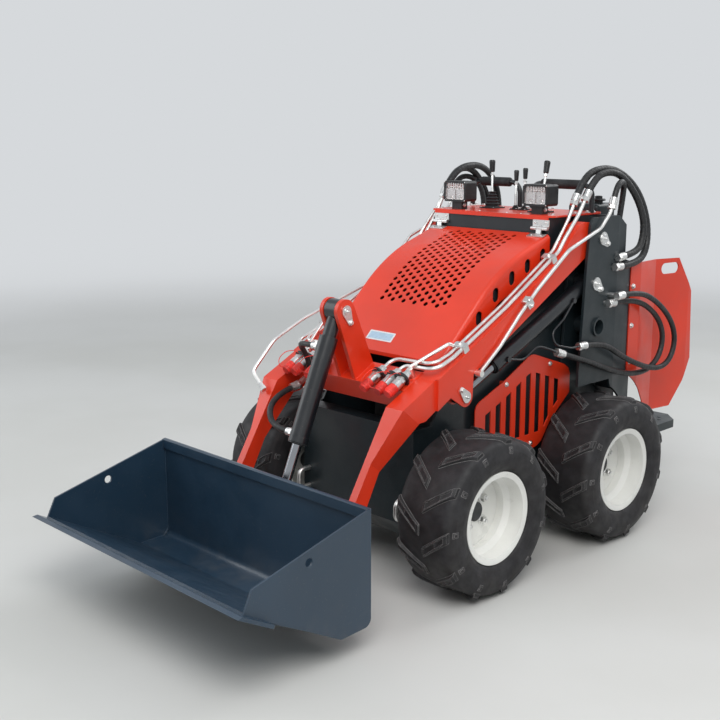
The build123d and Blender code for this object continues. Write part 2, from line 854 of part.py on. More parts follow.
# Hood hinges: leaves with the pins on the console, flaps on the hood
flap_low = [
    (hood_hinge[0] - 2 - hinge_leaf_reach, hood_ridge(hood_hinge[0] - 2 - hinge_leaf_reach) + seat_gap),
    (hood_hinge[0] - 2, hood_ridge(hood_hinge[0] - 2) + seat_gap),
]
flap_high = offset_path(flap_low, hinge_leaf)
knuckle_half = hinge_width / 6 - 1
with BuildPart() as hinge_flaps:
    flap_profile = [flap_low[0], flap_low[1], hood_hinge, (hood_hinge[0] - 5, hood_hinge[1])]
    flap_profile += [(flap_high[1][0] - 4, flap_high[1][1]), flap_high[0]]
    side_plate(flap_profile, hinge_x - knuckle_half, 2 * knuckle_half)
    side_plate(flap_low + flap_high[::-1], hinge_x - hinge_width / 2, hinge_width)
    side_disc(hood_hinge, hinge_barrel, hinge_x - knuckle_half, 2 * knuckle_half)
    side_disc(hood_hinge, hinge_leaf + play, hinge_x - knuckle_half, 2 * knuckle_half, Mode.SUBTRACT)
    mirror(about=Plane.YZ)
finish(hinge_flaps, "hinge_flaps")
with BuildPart() as hinge_leaves:
    side_disc(hood_hinge, hinge_leaf, hinge_x - hinge_width / 2, hinge_width)
    for start_x in (hinge_x - hinge_width / 2, hinge_x + knuckle_half + 1):
        knuckle_length = hinge_width / 2 - knuckle_half - 1
        side_disc(hood_hinge, hinge_barrel, start_x, knuckle_length)
        block(
            (start_x, start_x + knuckle_length),
            (hood_hinge[0], console_front_y),
            (hood_hinge[1] + 1, hood_hinge[1] + hinge_barrel),
        )
    block(
        (hinge_x - hinge_width / 2, hinge_x + hinge_width / 2),
        (console_front_y - hinge_leaf, console_front_y),
        (hood_hinge[1] + 1, hood_hinge[1] + 28),
    )
    mirror(about=Plane.YZ)
finish(hinge_leaves, "hinge_leaves")

# Console box with its front panel, rear deck and tank
with BuildPart() as console_box:
    console_profile = [
        (console_front_y, console_bottom_z),
        (console_front_y, console_top_z),
        (console_rear_y, console_top_z),
        (console_rear_y, console_deck_z),
        (frame_rear_y, console_deck_z),
        (frame_rear_y, console_bottom_z),
    ]
    side_plate(console_profile, -console_body_half_width, 2 * console_body_half_width)
    console_hollow = [
        (console_front_y + console_sheet, console_bottom_z - 1),
        (console_front_y + console_sheet, console_top_z - console_sheet),
        (console_rear_y - console_sheet, console_top_z - console_sheet),
        (console_rear_y - console_sheet, console_deck_z - console_sheet),
        (frame_rear_y - console_sheet, console_deck_z - console_sheet),
        (frame_rear_y - console_sheet, console_bottom_z - 1),
    ]
    hollow_half = console_body_half_width - console_sheet
    side_plate(console_hollow, -hollow_half, 2 * hollow_half, mode=Mode.SUBTRACT)
    block(
        (tank_x - tank_half_width, tank_x + tank_half_width),
        (tank_y - tank_half_depth, tank_y + tank_half_depth),
        (console_deck_z - 1, tank_top_z),
    )
    tank_edges = console_box.edges().filter_by(
        lambda e: e.center().Z > console_deck_z + 5 and e.center().Y > console_rear_y + 1
    )
    fillet(tank_edges, 14)
finish(console_box, "console_box")

with BuildPart() as filler_cap:
    with BuildSketch(Plane.XY.offset(tank_top_z)):
        with Locations((tank_x + 34, tank_y - 10)):
            Circle(22)
    extrude(amount=10)
    with BuildSketch(Plane.XY.offset(tank_top_z + 10)):
        with Locations((tank_x + 34, tank_y - 10)):
            RegularPolygon(24, 12)
    extrude(amount=16)
finish(filler_cap, "filler_cap")

with BuildPart() as console_top:
    with BuildSketch(Plane.XY.offset(console_top_z)):
        with Locations((0, (console_front_y - 6 + console_rear_y + 4) / 2)):
            RectangleRounded(2 * console_half_width, console_rear_y - console_front_y + 10, 18)
    extrude(amount=console_sheet)
    lip_half = console_body_half_width
    block(
        (-lip_half, lip_half),
        (console_front_y - 6, console_front_y - 3),
        (console_top_z - 8, console_top_z + 1),
    )
finish(console_top, "console_top")
plate_z = console_top_z + console_sheet

# Work lamps with fins on their backs
with BuildPart() as lamp_housings:
    lamp_middle = (lamp_z[0] + lamp_z[1]) / 2
    lamp_face = (2 * (lamp_half_width - lamp_bezel), lamp_z[1] - lamp_z[0] - 2 * lamp_bezel)
    with BuildSketch(Plane.XZ.offset(-lamp_y[0])):
        with Locations((lamp_x, lamp_middle)):
            RectangleRounded(2 * lamp_half_width, lamp_z[1] - lamp_z[0], 10)
    extrude(amount=lamp_y[0] - lamp_y[1])
    with BuildSketch(Plane.XZ.offset(-lamp_y[0])):
        with Locations((lamp_x, lamp_middle)):
            RectangleRounded(*lamp_face, 6)
    extrude(amount=-lamp_recess, mode=Mode.SUBTRACT)
    with BuildSketch(Plane.XZ.offset(-lamp_y[1])):
        with Locations((lamp_x, lamp_middle)):
            with GridLocations(16, 1, 5, 1):
                Rectangle(8, lamp_z[1] - lamp_z[0] + 2)
    extrude(amount=14, mode=Mode.SUBTRACT)
    block((lamp_x - 22, lamp_x + 22), (lamp_y[0] + 14, lamp_y[0] + 46), (plate_z, lamp_z[0] + 1))
    mirror(about=Plane.YZ)
finish(lamp_housings, "lamp_housings")
with BuildPart() as lamp_lenses:
    with BuildSketch(Plane.XZ.offset(-lamp_y[0] - lamp_recess + 4)):
        with Locations((lamp_x, lamp_middle)):
            RectangleRounded(lamp_face[0] - 2 * seat_gap, lamp_face[1] - 2 * seat_gap, 6)
    extrude(amount=-4)
    mirror(about=Plane.YZ)
finish(lamp_lenses, "lamp_lenses")

# Control levers, each in a pleated boot or a plain collar
lever_columns = ("foot_x", "foot_y", "top_x", "top_y", "top_z", "knob", "knob_length", "boot")
lever_rows = (
    (-125, 485, -133, 490, 1264, 11, 43, 34),
    (-12, 474, -15, 480, 1231, 9, 38, 16),
    (26, 474, 24, 480, 1239, 9, 38, 16),
    (128, 433, 116, 480, 1265, 11, 43, 34),
)
lever_table = [dict(zip(lever_columns, row)) for row in lever_rows]
with BuildPart() as levers:
    for lever in lever_table:
        foot = Vector(lever["foot_x"], lever["foot_y"], plate_z + 2)
        top = Vector(lever["top_x"], lever["top_y"], lever["top_z"])
        reach = (top - foot).normalized()
        neck = top - reach * lever["knob_length"]
        bar(tuple(foot), tuple(neck + reach), lever_radius)
        knob_half = lever["knob_length"] / 2
        with Locations(Plane(origin=neck + reach * knob_half, z_dir=reach)):
            Cone(lever["knob"] - 3, lever["knob"], lever["knob_length"])
    knob_tops = levers.faces().filter_by(
        lambda face: face.center().Z > lever_knob_low and face.normal_at().Z > 0.9
    )
    fillet(knob_tops.edges(), 4)
finish(levers, "levers")
with BuildPart() as lever_boots:
    for lever in lever_table:
        foot = Vector(lever["foot_x"], lever["foot_y"], plate_z + 2)
        top = Vector(lever["top_x"], lever["top_y"], lever["top_z"])
        wide = lever["boot"]
        with BuildSketch(Plane.XY.offset(plate_z)) as boot_plate:
            with Locations((lever["foot_x"], lever["foot_y"])):
                RectangleRounded(2 * wide, 2 * wide, 5)
        extrude(boot_plate.sketch, amount=4)
        boot_foot = (lever["foot_x"], lever["foot_y"], plate_z + 3)
        with BuildSketch(Plane(origin=boot_foot, x_dir=(1, 0, 0), z_dir=(0, -1, 0))) as boot_half:
            with BuildLine():
                Polyline(
                    (0, 0),
                    (0.85 * wide, 0),
                    (0.9 * wide, 0.14 * wide),
                    (0.62 * wide, 0.26 * wide),
                    (0.7 * wide, 0.4 * wide),
                    (0.46 * wide, 0.52 * wide),
                    (0.5 * wide, 0.66 * wide),
                    (0.33 * wide, 0.8 * wide),
                    (0, 0.8 * wide),
                    close=True,
                )
            make_face()
        revolve(boot_half.sketch, axis=Axis(boot_foot, (0, 0, 1)))
        bar(tuple(foot), tuple(top), lever_radius + seat_gap, Mode.SUBTRACT)
finish(lever_boots, "lever_boots")

# Padded rails the operator leans on
with BuildPart() as hand_rails:
    for rail_start, rail_end in rail_spans:
        rail_low = plate_z
        rail_points = [
            (rail_start, rail_y, rail_low),
            (rail_start, rail_y, rail_z),
            (rail_end, rail_y, rail_z),
            (rail_end, rail_y, rail_low),
        ]
        tube(rail_points, rail_radius, 38)
        bar((rail_start + 42, rail_y, rail_z), (rail_end - 42, rail_y, rail_z), rail_pad_radius)
finish(hand_rails, "hand_rails")

# Towers: two plates on each side of the frame
with BuildPart() as tower_skin:
    bent_plan = [
        (tower_outer_x, tower_front_y - 10),
        (tower_outer_x, tower_bend_y),
        (tower_outer_x - tower_bend_in, tower_rear_y),
        (tower_outer_x - tower_bend_in + tower_plate, tower_rear_y),
        (tower_outer_x + tower_plate, tower_bend_y),
        (tower_outer_x + tower_plate, tower_front_y - 10),
    ]
    with BuildSketch(Plane.XY.offset(250)):
        with BuildLine():
            Polyline(*bent_plan, close=True)
        make_face()
    extrude(amount=900)
    side_plate(tower_outline, tower_outer_x - 40, 80, mode=Mode.INTERSECT)
with BuildPart() as towers:
    side_plate(tower_outline, tower_inner_x, tower_plate)
    add(tower_skin.part)
    block((tower_inner_x + 1, tower_outer_x + 1), (tower_web_y - 6, tower_web_y), (430, 1040))
    block((tower_inner_x + 1, tower_outer_x + 1), (560, 600), (tower_top_z - 6, tower_top_z))
    tube_end_x = tower_outer_x + tower_plate + tower_tube_proud
    side_disc(tower_tube, tower_tube_radius + tower_tube_wall, tower_inner_x, tube_end_x - tower_inner_x)
    side_disc(tower_tube, tower_tube_radius, tower_inner_x - 1, bore_reach, Mode.SUBTRACT)
    side_disc((axle_ys["rear"], axle_z), tyre_radius + 25, tower_inner_x - 1, bore_reach, Mode.SUBTRACT)
    for foot in tower_feet:
        side_disc(foot, 26, frame_half_width, tower_inner_x - frame_half_width + 1)
    side_disc(boom_pivot, pivot_pin_radius + play, tower_inner_x - 1, bore_reach, Mode.SUBTRACT)
    side_disc(lift_base, lift_pin_radius + play, tower_inner_x - 1, bore_reach, Mode.SUBTRACT)
    mirror(about=Plane.YZ)
finish(towers, "towers")

keeper_face = tower_outer_x + tower_plate + seat_gap
with BuildPart() as tower_pins:
    for pin_centre, pin_radius in ((boom_pivot, pivot_pin_radius), (lift_base, lift_pin_radius)):
        side_disc(pin_centre, pin_radius, tower_inner_x, keeper_face - tower_inner_x + keeper_sheet + 3)
        tail = polar(pin_centre, keeper_tail, keeper_tail_angle)
        feet = (polar(tail, 10, keeper_tail_angle + 90), polar(tail, 10, keeper_tail_angle - 90))
        side_ear(pin_centre, keeper_radius, feet, keeper_face, keeper_sheet)
    mirror(about=Plane.YZ)
finish(tower_pins, "tower_pins")

# Lift arms: beam, elbow and leg on each side, with lugs for the lift cylinder
leg_rise = Vector(0, (elbow_corner[0] + elbow_crotch[0]) / 2, (elbow_corner[1] + elbow_crotch[1]) / 2)
leg_rise = leg_rise - Vector(0, *leg_kink)
leg_plane = Plane(
    origin=(0, *leg_kink),
    x_dir=(1, 0, 0),
    z_dir=Vector(1, 0, 0).cross(leg_rise.normalized()),
)
with BuildPart() as leg_slant:
    slant = (elbow_outer_x - elbow_inner_x - leg_sheet) / leg_rise.length
    leg_outer_x = elbow_inner_x + leg_sheet
    with BuildSketch(leg_plane):
        with BuildLine():
            Polyline(
                (leg_outer_x, -500),
                (leg_outer_x, 0),
                (leg_outer_x + 260 * slant, 260),
                (400, 260),
                (400, -500),
                close=True,
            )
        make_face()
    extrude(amount=300, both=True)

beam_top_front = (beam_front_y, line_height(arm_top, beam_front_y))
low_slope = (arm_low_rear[1] - arm_low_mid[1]) / (arm_low_rear[0] - arm_low_mid[0])


def beam_low(y):
    """Height of the beam's lower edge."""
    return arm_low_mid[1] + (y - arm_low_mid[0]) * low_slope


with BuildPart() as arm_leg:
    leg_points = [
        (elbow_rear_y, line_height(arm_top, elbow_rear_y)),
        arm_top[0],
        elbow_corner,
        touch_point(elbow_corner, bucket_pivot, leg_end_radius, elbow_crotch),
        bucket_pivot,
        touch_point(leg_kink_rear, bucket_pivot, leg_end_radius, elbow_corner),
        leg_kink_rear,
        elbow_crotch,
        (elbow_crotch[0] + 26, elbow_crotch[1] + 1),
        (elbow_rear_y, beam_low(elbow_rear_y)),
    ]
    side_plate(leg_points, elbow_inner_x, elbow_outer_x - elbow_inner_x)
    side_disc(bucket_pivot, leg_end_radius, elbow_inner_x, elbow_outer_x - elbow_inner_x)
    add(leg_slant.part, mode=Mode.SUBTRACT)
with BuildPart() as boom_arms:
    beam_points = [
        beam_top_front,
        *arm_top[1:],
        polar(boom_pivot, arm_end_radius, 105),
        boom_pivot,
        polar(boom_pivot, arm_end_radius, -112),
        arm_low_rear,
        (beam_front_y, beam_low(beam_front_y)),
    ]
    side_plate(beam_points, arm_inner_x, arm_outer_x - arm_inner_x)
    side_disc(boom_pivot, arm_end_radius, arm_inner_x, arm_outer_x - arm_inner_x)
    add(arm_leg.part)
    lug_feet = ((elbow_rear_y + 2, beam_low(elbow_rear_y) + 20), (-140, beam_low(-140) + 16))
    for lug in (lug_inner, lug_outer):
        side_ear(lift_eye, lug_radius, lug_feet, lug[0], lug[1] - lug[0])
    boss_start = tower_inner_x + tower_plate + pivot_boss_gap
    side_disc(boom_pivot, pivot_boss_radius, boss_start, tower_outer_x - pivot_boss_gap - boss_start)
    side_disc(boom_pivot, pivot_pin_radius + play, boss_start - 1, bore_reach, Mode.SUBTRACT)
    side_disc(lift_eye, lift_pin_radius + play, lug_inner[0] - 1, bore_reach, Mode.SUBTRACT)
    side_disc(bucket_pivot, bucket_pin_radius + play, elbow_inner_x - 1, bore_reach, Mode.SUBTRACT)
    mirror(about=Plane.YZ)
finish(boom_arms, "boom_arms")


def deck(x, run, height):
    """Point over the cross member's top plate: distance back from its front edge, and height."""
    length = hypot(cross_top_rear[0] - cross_top_front[0], cross_top_rear[1] - cross_top_front[1])
    cosine = (cross_top_rear[0] - cross_top_front[0]) / length
    sine = (cross_top_rear[1] - cross_top_front[1]) / length
    y = cross_top_front[0] + run * cosine - height * sine
    return (x, y, cross_top_front[1] + run * sine + height * cosine)


# Cross member with the tilt cylinder's clevis
with BuildPart() as cross_member:
    cross_points = [
        cross_top_front,
        cross_top_rear,
        deck(0, 93.5, -cross_drop)[1:],
        deck(0, 0, -cross_drop)[1:],
    ]
    side_plate(cross_points, -elbow_inner_x, 2 * elbow_inner_x)
    cross_hollow = [
        deck(0, cross_wall, -cross_wall)[1:],
        deck(0, 93.5 - cross_wall, -cross_wall)[1:],
        deck(0, 93.5 - cross_wall, cross_wall - cross_drop)[1:],
        deck(0, cross_wall, cross_wall - cross_drop)[1:],
    ]
    side_plate(cross_hollow, -elbow_inner_x, 2 * elbow_inner_x, mode=Mode.SUBTRACT)
    ear_feet = (deck(0, 2, -4)[1:], deck(0, 90, -4)[1:])
    ear_start = tilt_eye_width / 2 + ear_gap
    for ear_x in (ear_start, -ear_start - ear_sheet):
        side_ear(tilt_base, ear_radius, ear_feet, ear_x, ear_sheet)
    side_disc(tilt_base, tilt_pin_radius + play, -60, 120, Mode.SUBTRACT)
finish(cross_member, "cross_member")

# Boom pins: ends in the lift lugs, and the clevis pin with its keeper
with BuildPart() as lug_pins:
    side_disc(lift_eye, lift_pin_radius, lug_inner[0], lug_inner[1] - lug_inner[0])
    side_disc(lift_eye, lift_pin_radius, lug_outer[0], lug_outer[1] - lug_outer[0] + seat_gap + keeper_sheet)
    lug_tail = ((lift_eye[0] - 34, lift_eye[1] + 22), (lift_eye[0] - 24, lift_eye[1] + 36))
    side_ear(lift_eye, 18, lug_tail, lug_outer[1] + seat_gap, keeper_sheet)
    mirror(about=Plane.YZ)
with BuildPart() as boom_pins:
    add(lug_pins.part)
    clevis_half = ear_start + ear_sheet + seat_gap
    side_disc(tilt_base, tilt_pin_radius, -clevis_half - 4, 2 * clevis_half + 4 + keeper_sheet)
    clevis_tail = ((tilt_base[0] + 10, tilt_base[1] - 44), (tilt_base[0] + 26, tilt_base[1] - 40))
    side_ear(tilt_base, 18, clevis_tail, clevis_half, keeper_sheet)
finish(boom_pins, "boom_pins")


# Lift cylinders
with BuildPart() as lift_barrels:
    bar(
        between(lift_base, lift_eye, 20, cylinder_x),
        between(lift_base, lift_eye, lift_barrel_length, cylinder_x),
        lift_barrel_radius,
    )
    bar(
        between(lift_base, lift_eye, 40, cylinder_x),
        between(lift_base, lift_eye, lift_barrel_length - gland_length, cylinder_x),
        lift_bore_radius,
        Mode.SUBTRACT,
    )
    bar(
        between(lift_base, lift_eye, lift_barrel_length - gland_length - 1, cylinder_x),
        between(lift_base, lift_eye, lift_barrel_length + 1, cylinder_x),
        lift_rod_radius + rod_play,
        Mode.SUBTRACT,
    )
    side_disc(lift_base, 29, cylinder_x - lift_base_width / 2, lift_base_width)
    side_disc(lift_base, lift_pin_radius + play, cylinder_x - lift_base_width, bore_reach, Mode.SUBTRACT)
    mirror(about=Plane.YZ)
finish(lift_barrels, "lift_barrels")
lift_length = hypot(lift_eye[0] - lift_base[0], lift_eye[1] - lift_base[1])
with BuildPart() as lift_rods:
    bar(
        between(lift_base, lift_eye, 62, cylinder_x),
        between(lift_base, lift_eye, lift_length - 10, cylinder_x),
        lift_rod_radius,
    )
    bar(
        between(lift_base, lift_eye, 62, cylinder_x),
        between(lift_base, lift_eye, 62 + piston_length, cylinder_x),
        lift_bore_radius - 0.1,
    )
    side_disc(lift_eye, lift_eye_radius, cylinder_x - lift_eye_width / 2, lift_eye_width)
    pin_from = lug_inner[1] + 1
    side_disc(lift_eye, lift_pin_radius, pin_from, lug_outer[0] - 1 - pin_from)
    mirror(about=Plane.YZ)
finish(lift_rods, "lift_rods")

# Rigid pipes on the lift cylinders' barrels
with BuildPart() as lift_pipes:
    boss_x = cylinder_x + lift_barrel_radius + seat_gap
    side_disc(lift_pipe_rear[0][1:], 9, boss_x, 8)
    rear_end = sleeve_root(hose_table["hose_lift_rear"], pipe_seat)
    tube([*lift_pipe_rear, rear_end], lift_pipe_radius, 60)
    sleeve_on(hose_table["hose_lift_rear"])
    side_disc(lift_pipe_front[0][1:], 9, boss_x, 8)
    front_end = sleeve_root(hose_table["hose_lift_front"], pipe_seat)
    tube([*lift_pipe_front, front_end], lift_pipe_radius, 60)
    sleeve_on(hose_table["hose_lift_front"])
    mirror(about=Plane.YZ)
finish(lift_pipes, "lift_pipes")

# Tilt cylinder
with BuildPart() as tilt_barrel:
    bar(
        between(tilt_base, tilt_eye, tilt_barrel_start, 0),
        between(tilt_base, tilt_eye, tilt_barrel_length, 0),
        tilt_barrel_radius,
    )
    neck_end = between(tilt_base, tilt_eye, tilt_barrel_start + 1, 0)
    bar(between(tilt_base, tilt_eye, 10, 0), neck_end, tilt_eye_width / 2)
    bar(
        between(tilt_base, tilt_eye, tilt_barrel_length - gland_length - 1, 0),
        between(tilt_base, tilt_eye, tilt_barrel_length + 1, 0),
        tilt_rod_radius + rod_play,
        Mode.SUBTRACT,
    )
    side_disc(tilt_base, tilt_eye_radius, -tilt_eye_width / 2, tilt_eye_width)
    side_disc(tilt_base, tilt_pin_radius + play, -tilt_eye_width, 2 * tilt_eye_width, Mode.SUBTRACT)
    for port_run in (tilt_port_high, tilt_port_low):
        port = between(tilt_base, tilt_eye, port_run, -18)
        mouth = between(tilt_base, tilt_eye, port_run, tilt_mouth_x)
        bar(port, mouth, sleeve_radius)
    bar(
        between(tilt_base, tilt_eye, tilt_barrel_start + 14, 0),
        between(tilt_base, tilt_eye, tilt_barrel_length - gland_length, 0),
        tilt_bore_radius,
        Mode.SUBTRACT,
    )
finish(tilt_barrel, "tilt_barrel")
tilt_length = hypot(tilt_eye[0] - tilt_base[0], tilt_eye[1] - tilt_base[1])
with BuildPart() as tilt_rod:
    bar(
        between(tilt_base, tilt_eye, tilt_barrel_start + 24, 0),
        between(tilt_base, tilt_eye, tilt_length - 12, 0),
        tilt_rod_radius,
    )
    bar(
        between(tilt_base, tilt_eye, tilt_barrel_start + 24, 0),
        between(tilt_base, tilt_eye, tilt_barrel_start + 24 + piston_length, 0),
        tilt_bore_radius - 0.1,
    )
    side_disc(tilt_eye, tilt_eye_radius, -tilt_eye_width / 2, tilt_eye_width)
    side_disc(tilt_eye, tilt_pin_radius, -ear_start + 1, 2 * ear_start - 2)
finish(tilt_rod, "tilt_rod")

# Pipes along the arms to the couplers, and the outer pipe
pipe_line = offset_path(arm_top[:4], pipe_lift)
with BuildPart() as boom_pipes:
    inner_route = [
        deck(coupler_xs[0], coupler_end, coupler_height),
        deck(coupler_xs[0], 104, coupler_height),
        (pipe_xs[0], -283, 692),
        (pipe_xs[0], -215, 711),
        *[(pipe_xs[0], *spot) for spot in pipe_line[1:]],
        (pipe_xs[0], *pipe_tops[0]),
        sleeve_root(hose_table["hose_upper"], pipe_seat),
    ]
    outer_route = [
        deck(coupler_xs[1], coupler_end, coupler_height),
        deck(coupler_xs[1], 84, coupler_height),
        (pipe_xs[1], -302, 681),
        (pipe_xs[1], -225, 706),
        *[(pipe_xs[1], *spot) for spot in pipe_line[1:]],
        (pipe_xs[1], *pipe_tops[1]),
        sleeve_root(hose_table["hose_middle"], pipe_seat),
    ]
    tube(inner_route, pipe_radius, 60)
    tube(outer_route, pipe_radius, 60)
    tube([*side_route, sleeve_root(hose_table["hose_inner"], pipe_seat)], pipe_radius, 60)
    for hose_name in ("hose_upper", "hose_middle", "hose_inner"):
        sleeve_on(hose_table[hose_name])
    side_disc(side_route[0][1:], 10, arm_outer_x, 22)
    stub_end = deck(coupler_xs[2], 66, coupler_height)
    bar(deck(coupler_xs[2], coupler_end, coupler_height), stub_end, pipe_radius)
    bar(deck(coupler_xs[2], 66, 0), deck(coupler_xs[2], 66, coupler_height + 9), 10)
    mirror(about=Plane.YZ)
    for route, drop in zip(tilt_boom_routes, tilt_fitting_drops):
        sleeve_on(route)
        bar(deck(route[0][0], 0, -drop), sleeve_root(route, sleeve_length - 9), 9)
finish(boom_pipes, "boom_pipes")

# Saddle clamps that hold the pipes on the arms
side_clamp_tilt = degrees(atan2(side_route[3][2] - side_route[2][2], side_route[3][1] - side_route[2][1]))
with BuildPart() as pipe_clamps:
    for clamp_y in clamp_ys:
        clamp_foot = Vector(pipe_xs[0] + 11.5, clamp_y, line_height(arm_top, clamp_y))
        clamp_up = Vector(0, -(arm_top[1][1] - arm_top[0][1]), arm_top[1][0] - arm_top[0][0]).normalized()
        if clamp_y > arm_top[1][0]:
            clamp_up = Vector(0, -(arm_top[2][1] - arm_top[1][1]), arm_top[2][0] - arm_top[1][0]).normalized()
        clamp_plane = Plane(origin=clamp_foot + clamp_up * seat_gap, x_dir=(1, 0, 0), z_dir=clamp_up)
        with BuildSketch(clamp_plane) as clamp_face:
            RectangleRounded(46, 26, 5)
        extrude(clamp_face.sketch, amount=pipe_lift + pipe_radius + 4)
    with BuildSketch(Plane.YZ.offset(arm_outer_x + seat_gap)) as saddle_face:
        with Locations(Location((*side_clamp, 0), (0, 0, side_clamp_tilt))):
            RectangleRounded(*side_clamp_size, 5)
    extrude(saddle_face.sketch, amount=side_pipe_x + pipe_radius + 3 - arm_outer_x - seat_gap)
    for x in pipe_xs:
        for start, end in zip(pipe_line, pipe_line[1:]):
            bar((x, *start), (x, *end), pipe_radius + seat_gap, Mode.SUBTRACT)
    bar(side_route[1], side_route[2], pipe_radius + seat_gap, Mode.SUBTRACT)
    bar(side_route[2], side_route[3], pipe_radius + seat_gap, Mode.SUBTRACT)
    mirror(about=Plane.YZ)
finish(pipe_clamps, "pipe_clamps")

# Quick couplers in their bracket, with dust caps
with BuildPart() as couplers:
    for x in coupler_xs:
        bar(deck(x, coupler_front, coupler_height), deck(x, coupler_end, coupler_height), coupler_radius)
        collar_start = deck(x, coupler_front + 8, coupler_height)
        bar(collar_start, deck(x, coupler_front + 20, coupler_height), coupler_radius + 2)
    mirror(about=Plane.YZ)
finish(couplers, "couplers")
with BuildPart() as coupler_brackets:
    bracket_plane = Plane(
        origin=deck(0, coupler_end - 16, 0),
        x_dir=(1, 0, 0),
        z_dir=Vector(*deck(0, 1, 0)) - Vector(*deck(0, 0, 0)),
    )
    with BuildSketch(bracket_plane) as bracket_face:
        bracket_low = coupler_xs[0] - 24
        with Locations(((bracket_low + elbow_inner_x - 1) / 2, -coupler_height / 2)):
            Rectangle(elbow_inner_x - 1 - bracket_low, coupler_height)
        with Locations(*[(x, -coupler_height) for x in coupler_xs]):
            Circle(bracket_height - coupler_height)
            Circle(coupler_radius + seat_gap, mode=Mode.SUBTRACT)
    extrude(bracket_face.sketch, amount=bracket_sheet)
    mirror(about=Plane.YZ)
finish(coupler_brackets, "coupler_brackets")
with BuildPart() as dust_caps:
    for x in coupler_xs:
        bar(
            deck(x, coupler_front - cap_length + 8, coupler_height),
            deck(x, coupler_front, coupler_height),
            cap_radius,
        )
        bar(
            deck(x, coupler_front - cap_length, coupler_height),
            deck(x, coupler_front - cap_length + 9, coupler_height),
            cap_radius - 3,
        )
    mirror(about=Plane.YZ)
finish(dust_caps, "dust_caps")

# Bucket of bent sheet with side plates, a cutting edge and a rim along the top
bucket_path = [bucket_front_low, bucket_floor_back, bucket_back_low, bucket_back_high]
with BuildPart() as bucket:
    with BuildSketch(Plane.YZ.offset(-bucket_half_width)) as bucket_wrap:
        with BuildLine():
            wrap_out = FilletPolyline(*bucket_path, radius=bucket_bend_radius)
            wrap_in = FilletPolyline(
                *offset_path(bucket_path, bucket_sheet),
                radius=bucket_bend_radius - bucket_sheet,
            )
            Line(wrap_out @ 1, wrap_in @ 1)
            Line(wrap_in @ 0, wrap_out @ 0)
        make_face()
    extrude(bucket_wrap.sketch, amount=2 * bucket_half_width)
    for side_x in (-bucket_half_width, bucket_half_width - bucket_sheet):
        with BuildSketch(Plane.YZ.offset(side_x)) as bucket_side:
            with BuildLine():
                side_wrap = FilletPolyline(*bucket_path, radius=bucket_bend_radius)
                Polyline(side_wrap @ 1, bucket_front_high, side_wrap @ 0)
            make_face()
            with Locations(bucket_hole):
                Circle(bucket_hole_radius, mode=Mode.SUBTRACT)
        extrude(bucket_side.sketch, amount=bucket_sheet)
    edge_tip = along(bucket_floor_back, bucket_front_low, edge_length)
    edge_root = along(bucket_front_low, bucket_floor_back, edge_depth)
    edge_low = offset_path([edge_tip, edge_root], -edge_sheet)
    edge_points = [along(edge_tip, edge_root, 14), edge_root, edge_low[1], edge_low[0]]
    side_plate(edge_points, -edge_half_width, 2 * edge_half_width)
    rim_y = bucket_back_high[0] - bucket_sheet
    rim_points = [
        (rim_y, bucket_back_high[1]),
        (rim_y - lip_sheet, bucket_back_high[1] - 2),
        (rim_y - lip_sheet, bucket_back_high[1] - lip_height),
        (rim_y, bucket_back_high[1] - lip_height),
    ]
    side_plate(rim_points, -bucket_half_width + 1, 2 * bucket_half_width - 2)
finish(bucket, "bucket")

# Mounting plate behind the bucket, with ears and pins for the legs and the tilt cylinder
plate_back_y = mount_plate_y + mount_plate_sheet
with BuildPart() as quick_attach:
    block(
        (-mount_half_width, mount_half_width),
        (mount_plate_y, plate_back_y),
        (mount_bottom_z, mount_top_z),
    )
    leg_feet = ((plate_back_y - 1, bucket_pivot[1] - 38), (plate_back_y - 1, bucket_pivot[1] + 60))
    leg_end_x = elbow_inner_x + leg_sheet
    for ear_x in (elbow_inner_x - mount_ear_gap - mount_ear, leg_end_x + mount_ear_gap):
        side_ear(bucket_pivot, mount_ear_radius, leg_feet, ear_x, mount_ear)
    pin_reach = mount_ear_gap + mount_ear + 5
    side_disc(bucket_pivot, bucket_pin_radius, elbow_inner_x - pin_reach, leg_sheet + 2 * pin_reach)
    rod_feet = ((plate_back_y - 1, tilt_eye[1] - 62), (plate_back_y - 1, tilt_eye[1] + 62))
    side_ear(tilt_eye, mount_ear_radius, rod_feet, ear_start, ear_sheet)
    side_disc(tilt_eye, tilt_pin_radius, ear_start, ear_sheet + 7)
    mirror(about=Plane.YZ)
finish(quick_attach, "quick_attach")

# Slotted side grilles between the wheels
with BuildPart() as side_panels:
    side_plate(grille_top + grille_low, grille_inner_x, grille_sheet)
    with BuildSketch(Plane.YZ.offset(grille_inner_x - 1)) as grille_slots:
        for index in range(grille_slot_count):
            slot_y = grille_first_slot_y + index * grille_slot_pitch
            slot_ends = (slot_y - grille_slot_width / 2, slot_y + grille_slot_width / 2)
            slot_highs = [(y, line_height(grille_top, y) - grille_margin) for y in slot_ends]
            slot_lows = [(y, line_height(grille_floor, y) + grille_margin) for y in slot_ends]
            with BuildLine():
                Polyline(*slot_highs, *slot_lows[::-1], close=True)
            make_face()
    extrude(grille_slots.sketch, amount=grille_sheet + 2, mode=Mode.SUBTRACT)
    for stand_off in grille_stand_offs:
        side_disc(stand_off, 9, frame_half_width, grille_inner_x - frame_half_width + 1)
    mirror(about=Plane.YZ)
finish(side_panels, "side_panels")

